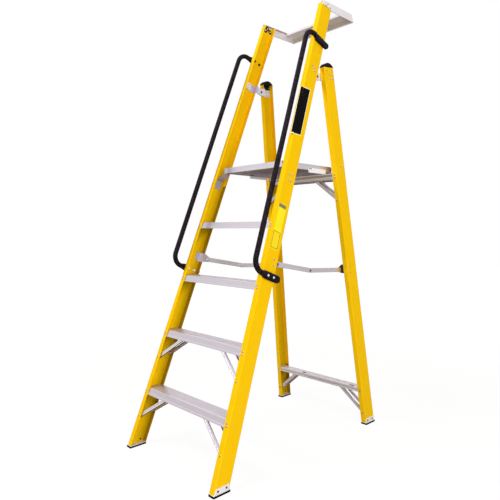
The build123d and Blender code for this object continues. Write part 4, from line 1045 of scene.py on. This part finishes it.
@dataclass
class Treads(SubAssembly):
    """The treads, the two rear channels and all their braces."""

    # A lilac band near the left end of tread_4's front is a painted reflection.
    banded_tread: str = "tread_4"
    band_inset: float = 0.088
    band_width: float = 0.045
    reflection_tone: Colour = (0.50, 0.44, 0.53)
    # Painted light: the tops of the treads are painted lighter than their fronts.
    top_light_tone: Colour = (0.76, 0.71, 0.75)
    # A lighter, less metallic copy of the extruded aluminium, painted light for the two rear channels.
    light: Colour = (0.84, 0.79, 0.82)
    # On the platform rest's front: a khaki band of painted reflection, and two thin dark lines near its
    # bottom and top.
    rest_bands: tuple[tuple[float, float, Colour], ...] = (
        (0.60, 0.011, (0.42, 0.35, 0.19)),
        (0.06, 0.004, (0.12, 0.09, 0.07)),
        (0.94, 0.003, (0.16, 0.13, 0.11)),
    )
    rear_bands: tuple[tuple[float, float, Colour], ...] = ((0.45, 0.006, (0.46, 0.41, 0.42)),)
    channel_metallic: float = 0.6
    braces: tuple[str, ...] = ("tread_braces", "platform_rest_braces", "rear_tread_braces")
    # Painted shade: the braces' faces that look down are painted near black.
    brace_way: Triple = (0.0, 0.0, -2.4)
    brace_shade: Colour = (0.015, 0.012, 0.015)
    # Dark strips in the rear tread's slots stand in for the shadow inside the channel.
    slot_spots: tuple[float, ...] = (-0.113, 0.258)
    slot_size: Triple = (0.0147, 0.0043, 0.0015)
    slot_rise: float = 0.0012
    slot_reach: float = 0.016
    slot_skin: float = 0.0005

    def build(self) -> None:
        """Dress the treads and braces."""
        up, across, forward = Axis.UPWARD, Axis.ACROSS, Axis.FORWARD
        for name in ("tread_1", "tread_2", "tread_3", "tread_4"):
            band = (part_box(name)[0].x + self.band_inset, self.band_width, self.reflection_tone)
            bands = (band,) if name == self.banded_tread else ()
            # The tread tops take the painted light.
            own = {"way": up.value, "toned": self.top_light_tone}
            self.paint([name], banded(EXTRUSION, f"{name}_face", bands, across, forward, **own).material())
        for name, bands in (("platform_rest", self.rest_bands), ("rear_tread", self.rear_bands)):
            low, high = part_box(name)
            placed = [(low.z + (high.z - low.z) * share, width, tone) for share, width, tone in bands]
            # The rear channels take the lighter copy, with painted shade on their faces that look down.
            own = {"colour": self.light, "metallic": self.channel_metallic}
            self.paint([name], banded(EXTRUSION, f"{name}_face", placed, up, forward, **own).material())
        brace = replace(SHEET, name="brace", way=self.brace_way, toned=self.brace_shade)
        self.paint(self.braces, brace.material())
        self.build_slots()

    def build_slots(self) -> None:
        """Fill the two slots in the rear tread with dark strips, a painted shadow that stands a little proud.
        """
        tread = vertices_of(self.nodes["rear_tread"])
        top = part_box("rear_tread")[1].z
        near = np.abs(tread[:, 0] - self.slot_spots[0]) < self.slot_reach
        edge = tread[(tread[:, 2] > top - self.slot_skin) & near]
        size = np.array(self.slot_size)
        signs = np.array([(x, y, z) for x in (-1, 1) for y in (-1, 1) for z in (-1, 1)])
        quads = np.array([(0, 1, 3, 2), (4, 6, 7, 5), (0, 4, 5, 1), (2, 3, 7, 6), (0, 2, 6, 4), (1, 5, 7, 3)])
        points, faces = [], []
        for spot in self.slot_spots:
            faces += (quads + len(points)).tolist()
            points += ((spot, np.median(edge[:, 1]), top + self.slot_rise - size[2]) + signs * size).tolist()
        strips = faced("slot_strips", points, faces)
        dress(strips, CAP_PLASTIC.material())
        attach(strips, Frame.REAR.value)


@dataclass
class Tray(SubAssembly):
    """The three-sided top tray."""

    # Painted shade on the crosspiece's rear lip, and painted highlights along two of its edges.
    lip_shade: Colour = (0.62, 0.53, 0.38)
    edge_highlight: Colour = (0.72, 0.66, 0.70)
    edges: tuple[tuple[float, float], ...] = ((0.04, 0.006), (0.80, 0.010))

    def build(self) -> None:
        """Dress the tray."""
        self.paint(self.pair("tray_arm"), TRAY_SHEET.material("arm", Axis.REARWARD.value))
        low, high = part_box("tray_crosspiece")
        edges = [(low.z + (high.z - low.z) * share, width, self.edge_highlight) for share, width in self.edges]
        middle = {"range_axis": Axis.REARWARD.value, "range_start": (low.y + high.y) / 2}
        own = {"toned": self.lip_shade, "way": Axis.FORWARD.value, **middle}
        lip = banded(TRAY_SHEET, "tray_lip", edges, Axis.UPWARD, Axis.FORWARD, **own)
        self.paint(["tray_crosspiece"], lip.material())


@dataclass
class Handrails(SubAssembly):
    """The two black handrails and their bolts."""

    def build(self) -> None:
        """Dress the handrails and bolts."""
        self.paint(self.pair("handrail"), SLEEVE.material())
        low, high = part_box("handrail_bolts")
        self.paint(["handrail_bolts"], replace(RAIL_BOLT, dark_above=(low.z + high.z) / 2).material())


@dataclass
class Platform(SubAssembly):
    """The fold-up platform with its rails, nose and latch plates."""

    # Painted shadows between the deck's ribs, and painted shade on its underside.
    rib_pitch: float = 0.026
    rib_shadow: float = 0.010
    rib_shadow_tone: Colour = (0.09, 0.07, 0.05)
    under_shade: Colour = (0.62, 0.56, 0.47)
    nose_tone: Colour = (0.76, 0.71, 0.76)
    # A lilac band near the nose's left end is a painted reflection.
    band_inset: float = 0.045
    band_width: float = 0.035
    reflection_tone: Colour = (0.58, 0.52, 0.61)

    def build(self) -> None:
        """Dress the platform."""
        low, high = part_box("platform_deck")
        count = int((high.y - low.y) / self.rib_pitch)
        ribs = [(low.y + self.rib_pitch * (k + 0.5), self.rib_shadow, self.rib_shadow_tone) for k in range(count)]
        deck = banded(EXTRUSION, "deck_face", ribs, Axis.REARWARD, Axis.DOWNWARD, toned=self.under_shade)
        self.paint(["platform_deck"], deck.material())
        end = (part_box("platform_nose")[0].x + self.band_inset, self.band_width, self.reflection_tone)
        nose = banded(EXTRUSION, "nose_face", (end,), Axis.ACROSS, Axis.FORWARD, colour=self.nose_tone)
        self.paint(["platform_nose"], nose.material())
        self.paint(self.pair("platform_rail"), EXTRUSION.material("rearward", Axis.REARWARD.value))
        self.paint(self.pair("platform_latch"), BRIGHT_PLATED.material())
        self.paint(["latch_screws"], PIN_STEEL.material())


@dataclass
class Pivots(SubAssembly):
    """The brackets, pins and spreader links that let the ladder fold."""

    brackets: tuple[tuple[str, Finish], ...] = (
        ("fold_bracket_front", ZINC),
        ("fold_bracket_rear", ZINC),
        ("spreader_bracket_front", GREY_PLATED),
        ("spreader_bracket_rear", SHADED_PLATED),
        ("platform_bracket", GREY_PLATED),
    )
    # A lilac band of painted shade where the left front fold bracket bends.
    bend_place: float = 0.47
    bend_width: float = 0.034
    bend_shade: Colour = (0.58, 0.50, 0.70)
    links: tuple[str, ...] = ("spreader_front_link", "spreader_rear_link")
    pins: tuple[str, ...] = ("fold_pins", "platform_pins", "spreader_front_pins", "spreader_rear_pins")

    def build(self) -> None:
        """Dress the brackets, links and pins."""
        for name, finish in self.brackets:
            self.paint(self.pair(name), finish.material())
        low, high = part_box("fold_bracket_front_left")
        bend = (low.y + (high.y - low.y) * self.bend_place, self.bend_width, self.bend_shade)
        self.paint(["fold_bracket_front_left"], banded(ZINC, "fold_bend", (bend,), Axis.REARWARD).material())
        for name in self.links:
            self.paint(self.pair(name), SHEET.material("link", Axis.REARWARD.value))
        self.paint([*self.pins, *self.pair("spreader_elbow_pin")], PIN_STEEL.material())


@dataclass
class Feet(SubAssembly):
    """The boots and rubber pads under the stiles, and the caps on the rear ones."""

    ends: tuple[str, ...] = ("front", "rear")

    def build(self) -> None:
        """Dress the boots, pads and caps."""
        for end in self.ends:
            self.paint(self.pair(f"boot_{end}"), BRIGHT_PLATED.material())
            self.paint(self.pair(f"foot_{end}"), RUBBER.material())
        self.paint(self.pair("stile_cap"), CAP_PLASTIC.material())


@dataclass
class Plates(SubAssembly):
    """The two bare plates on the right-hand front stile."""

    dark_slope: float = math.tan(math.radians(16.0))
    fold_width: float = 0.015
    sheet: float = 0.0008
    half_fold: float = 0.05
    edge_reach: float = 0.004

    def build(self) -> None:
        """Dress both plates by the distance from their edges."""
        along = long_axis(self.nodes["front_stile_right"])
        across = Vector((0.0, along.z, -along.y)).normalized()
        dark = self.fitted(DARK_PLATE, across, along, self.dark_slope, self.fold_width)
        bright = self.fitted(BRIGHT_PLATE, across, along)
        self.paint(["dark_plate"], dark.material())
        self.paint(["bright_plate"], bright.material())
        self.build_fold(np.array(across), np.array(along), dark)

    def build_fold(self, across: np.ndarray, along: np.ndarray, finish: PlateFinish) -> None:
        """Fold the dark plate's front edge over onto the stile's front flange.

        Args:
            across: The direction across the plate.
            along: The direction along the plate.
            finish: The plate's finish.
        """
        square = np.cross(across, along)
        plate = vertices_of(self.nodes["dark_plate"])
        stile = vertices_of(self.nodes["front_stile_right"])
        face, edge, web = (stile @ across).min(), (plate @ across).min(), (plate @ square).min()
        outer, lap = web + self.sheet, web - self.fold_width
        section = (
            (outer, edge),
            (web, edge),
            (web, face),
            (lap, face),
            (lap, face - self.sheet),
            (outer, face - self.sheet),
        )
        front_edge = plate[(plate @ across) < edge + self.edge_reach] @ along
        ends = [front_edge.min(), front_edge.max()]
        points = [
            tuple(out * square + depth * across + (end + self.dark_slope * (depth - edge)) * along)
            for end in ends
            for out, depth in section
        ]
        count = len(section)
        sides = [(k, (k + 1) % count, count + (k + 1) % count, count + k) for k in range(count)]
        caps = [tuple(range(count))[::-1], tuple(range(count, 2 * count))]
        fold = faced("dark_plate_fold", points, sides + caps)
        grown = bmesh.new()
        grown.from_mesh(fold.data)
        bmesh.ops.recalc_face_normals(grown, faces=grown.faces)
        grown.to_mesh(fold.data)
        grown.free()
        middle = (lap + self.half_fold) * square + edge * across + (ends[0] + ends[1]) / 2 * along
        finish = replace(
            finish,
            name="dark_plate_fold",
            centre=plain(middle),
            across_axis=plain(square),
            half_across=self.half_fold,
            half_along=float(ends[1] - ends[0]) / 2,
            slope=0.0,
        )
        dress(fold, finish.material())
        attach(fold, Frame.FRONT.value)
        LOG.info("dark_plate_fold: %.0f mm wide", self.fold_width * 1000)

    def fitted(
        self, base: PlateFinish, across: Vector, along: Vector, slope: float = 0.0, margin: float = 0.0
    ) -> PlateFinish:
        """Measure the plate that a finish is named after and fit the finish to it.

        Args:
            base: The finish, without its measures.
            across: The direction across the plate.
            along: The direction along the plate.
            slope: How far the plate's ends climb for each unit across.
            margin: How far the plate goes on ahead of its front edge.

        Returns:
            The finish.
        """
        points = vertices_of(self.nodes[base.name])
        square = np.cross(np.array(across), np.array(along))
        spread = points @ np.array(across)
        middle = (spread.max() + spread.min()) / 2 - margin / 2
        climb = points @ np.array(along) - slope * (spread - middle)
        centre = middle * np.array(across) + (climb.max() + climb.min()) / 2 * np.array(along)
        centre = centre + float((points @ square).mean()) * square
        return replace(
            base,
            centre=plain(centre),
            half_across=float((spread.max() - spread.min() + margin) / 2),
            half_along=float((climb.max() - climb.min()) / 2),
            slope=slope,
            across_axis=tuple(across),
            along_axis=tuple(along),
        )


@dataclass
class Rivets(SubAssembly):
    """The rivets of one frame, each with the broken end of its mandrel."""

    frame: Frame = Frame.FRONT
    node: str = "front_rivets"
    radius: float = 0.0026
    height: float = 0.0007
    tail_radius: float = 0.004
    boot_height: float = 0.14
    boot_tone: Colour = (0.05, 0.045, 0.05)
    backed_above: float = 2.4
    backing_radius: float = 0.015
    backing_height: float = 0.0012

    def build(self) -> None:
        """Dress the rivets and set a mandrel end in every head."""
        wear_and_shade = banded(RIVET, f"{self.node}_heads", ((0.0, self.boot_height, self.boot_tone),), Axis.UPWARD)
        self.paint([self.node], wear_and_shade.material())
        solids = islands_of(self.nodes[self.node])
        heads = [head_of(*solid) for solid in solids]
        self.grow(f"{self.node}_mandrels", heads, self.radius, self.height, MANDREL)
        # Dark backing discs round the tray rivets' tails, which are also painted shade inside the top of the
        # channel.
        if self.frame is Frame.FRONT:
            high = [solid for solid, (top, _) in zip(solids, heads) if top.z > self.backed_above]
            tails = [tail_of(*solid, self.tail_radius) for solid in high]
            self.grow("tray_backing", tails, self.backing_radius, self.backing_height, BACKING_AND_SHADE)
            raised = [(spot + way * self.backing_height, way) for spot, way in tails]
            self.grow("tray_rivet_tails", raised, self.tail_radius, self.height, BRIGHT_PLATED)

    def grow(
        self, name: str, places: Sequence[tuple[Vector, Vector]], radius: float, height: float, finish: Finish
    ) -> None:
        """Set a stub on every place and let it ride on the frame.

        Args:
            name: The piece's name.
            places: Each stub's middle and the direction it faces.
            radius: The stubs' radius in metres.
            height: The stubs' height in metres.
            finish: The stubs' finish.
        """
        piece = StubTree.grow(name, places, radius, height, finish.material())
        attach(piece, self.frame.value)
        LOG.info("%s: %d stubs", name, len(places))


# Studio


@dataclass
class Lamp:
    """A soft round area lamp that points at the ladder."""

    name: str
    place: Triple
    size: float
    power: float

    def build(self, target: Vector) -> None:
        """Hang the lamp so that it faces a target.

        Args:
            target: The point that it faces.
        """
        data = bpy.data.lights.new(self.name, "AREA")
        data.shape = "DISK"
        data.size = self.size
        data.energy = self.power
        lamp = show(self.name, data)
        lamp.location = self.place
        lamp.rotation_euler = (target - Vector(self.place)).to_track_quat("-Z", "Y").to_euler()


@dataclass
class Studio:
    """A pale floor, a white surround, soft lamps and the camera."""

    low: Vector
    high: Vector
    floor_radius: float = 14.0
    floor_sides: int = 96
    floor_drop: float = 0.0005
    floor_colour: Colour = (0.66, 0.62, 0.56)
    floor_glow: float = 0.9
    glow_strength: float = 1.06
    fade_from: float = 2.0
    fade_to: float = 5.0
    surround_light: float = 0.16
    white: tuple[float, ...] = (1.0, 1.0, 1.0, 1.0)
    camera_place: Triple = (2.00824, -1.98927, 1.14967)
    camera_azimuth: float = 46.30
    camera_lens: float = 35.97
    camera_sensor: float = 36.0
    camera_shift: float = -0.0402
    lamps: tuple[Lamp, ...] = (
        Lamp("right_lamp", (6.2, -1.6, 2.9), 4.8, 240.0),
        Lamp("high_lamp", (-1.2, -3.8, 6.6), 2.4, 300.0),
        Lamp("top_lamp", (0.6, -0.4, 6.4), 2.6, 40.0),
        Lamp("low_lamp", (4.4, -4.8, 0.4), 3.4, 140.0),
    )

    def build(self) -> None:
        """Build the studio."""
        self.build_floor()
        self.build_surround()
        for lamp in self.lamps:
            lamp.build((self.low + self.high) / 2)
            LOG.info("%s: %.0f W", lamp.name, lamp.power)
        self.build_camera()
        bpy.context.scene.view_settings.view_transform = "Standard"

    @staticmethod
    def seen(board: Board) -> Socket:
        """Mask the camera, glossy and transmission rays, which show the background.

        Args:
            board: The board of the material or world.

        Returns:
            A socket that is one for those rays.
        """
        path = board.node("ShaderNodeLightPath").outputs
        shiny = board.most(path["Is Glossy Ray"], path["Is Transmission Ray"])
        return board.most(path["Is Camera Ray"], shiny)

    def build_floor(self) -> None:
        """Lay a round floor that stays white where no shadow falls."""
        turns = [math.tau * k / self.floor_sides for k in range(self.floor_sides)]
        reach = self.floor_radius
        ring = [(reach * math.cos(turn), reach * math.sin(turn), 0.0) for turn in turns]
        floor = faced("floor", ring, [tuple(range(self.floor_sides))])
        floor.location = (0.0, 0.0, self.low.z - self.floor_drop)
        material = bpy.data.materials.new("studio_floor")
        material.use_nodes = True
        material.node_tree.nodes.clear()
        board = Board(material.node_tree)
        matte = board.node("ShaderNodeBsdfDiffuse", {"Color": (*self.floor_colour, 1.0)}).outputs[0]
        glowing = {"Color": self.white, "Strength": self.glow_strength}
        glow = board.node("ShaderNodeEmission", glowing).outputs[0]
        shown = board.node("ShaderNodeLightPath").outputs["Is Camera Ray"]
        place = board.node("ShaderNodeTexCoord").outputs["Object"]
        away = board.node("ShaderNodeVectorMath", {0: place}, operation="LENGTH").outputs["Value"]
        share = board.times(shown, board.spread(away, self.floor_glow, 1.0, self.fade_from, self.fade_to))
        blend = board.node("ShaderNodeMixShader", {0: share, 1: matte, 2: glow}).outputs[0]
        board.node("ShaderNodeOutputMaterial", {"Surface": blend})
        floor.data.materials.append(material)
        floor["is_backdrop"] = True

    def build_surround(self) -> None:
        """Surround the ladder with plain white that is softer as a light than as a background."""
        world = bpy.data.worlds.new("surround")
        bpy.context.scene.world = world
        world.use_nodes = True
        world.node_tree.nodes.clear()
        board = Board(world.node_tree)
        extra = board.times(self.seen(board), 1.0 - self.surround_light)
        strength = board.math("ADD", extra, self.surround_light)
        shade = board.node("ShaderNodeBackground", {"Color": self.white, "Strength": strength}).outputs[0]
        board.node("ShaderNodeOutputWorld", {"Surface": shade})

    def build_camera(self) -> None:
        """Stand the camera level at chest height, ahead and to the right."""
        data = bpy.data.cameras.new("camera")
        data.sensor_width = self.camera_sensor
        data.lens = self.camera_lens
        data.shift_y = self.camera_shift
        camera = show("camera", data)
        camera.location = self.camera_place
        camera.rotation_euler = (math.radians(90.0), 0.0, math.radians(self.camera_azimuth))
        bpy.context.scene.camera = camera


def corners(bounds: tuple[Vector, Vector]) -> list[list[float]]:
    """Turn a pair of corners into plain lists."""
    return [[float(value) for value in corner] for corner in bounds]


def main() -> None:
    """Load the frame, dress each sub-assembly and build the studio."""
    logging.basicConfig(level=logging.INFO, format="%(name)s %(message)s")
    for name in [o.name for o in bpy.data.objects]:
        bpy.data.objects.remove(bpy.data.objects[name])
    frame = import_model()
    cad_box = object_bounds()
    nodes = frame["nodes"]
    for assembly in (
        Stiles(nodes),
        Treads(nodes),
        Tray(nodes),
        Handrails(nodes),
        Platform(nodes),
        Pivots(nodes),
        Feet(nodes),
        Plates(nodes),
        Rivets(nodes),
        Rivets(nodes, Frame.REAR, "rear_rivets"),
    ):
        assembly.build()
    Studio(*cad_box).build()


if __name__ == "__main__":
    main()
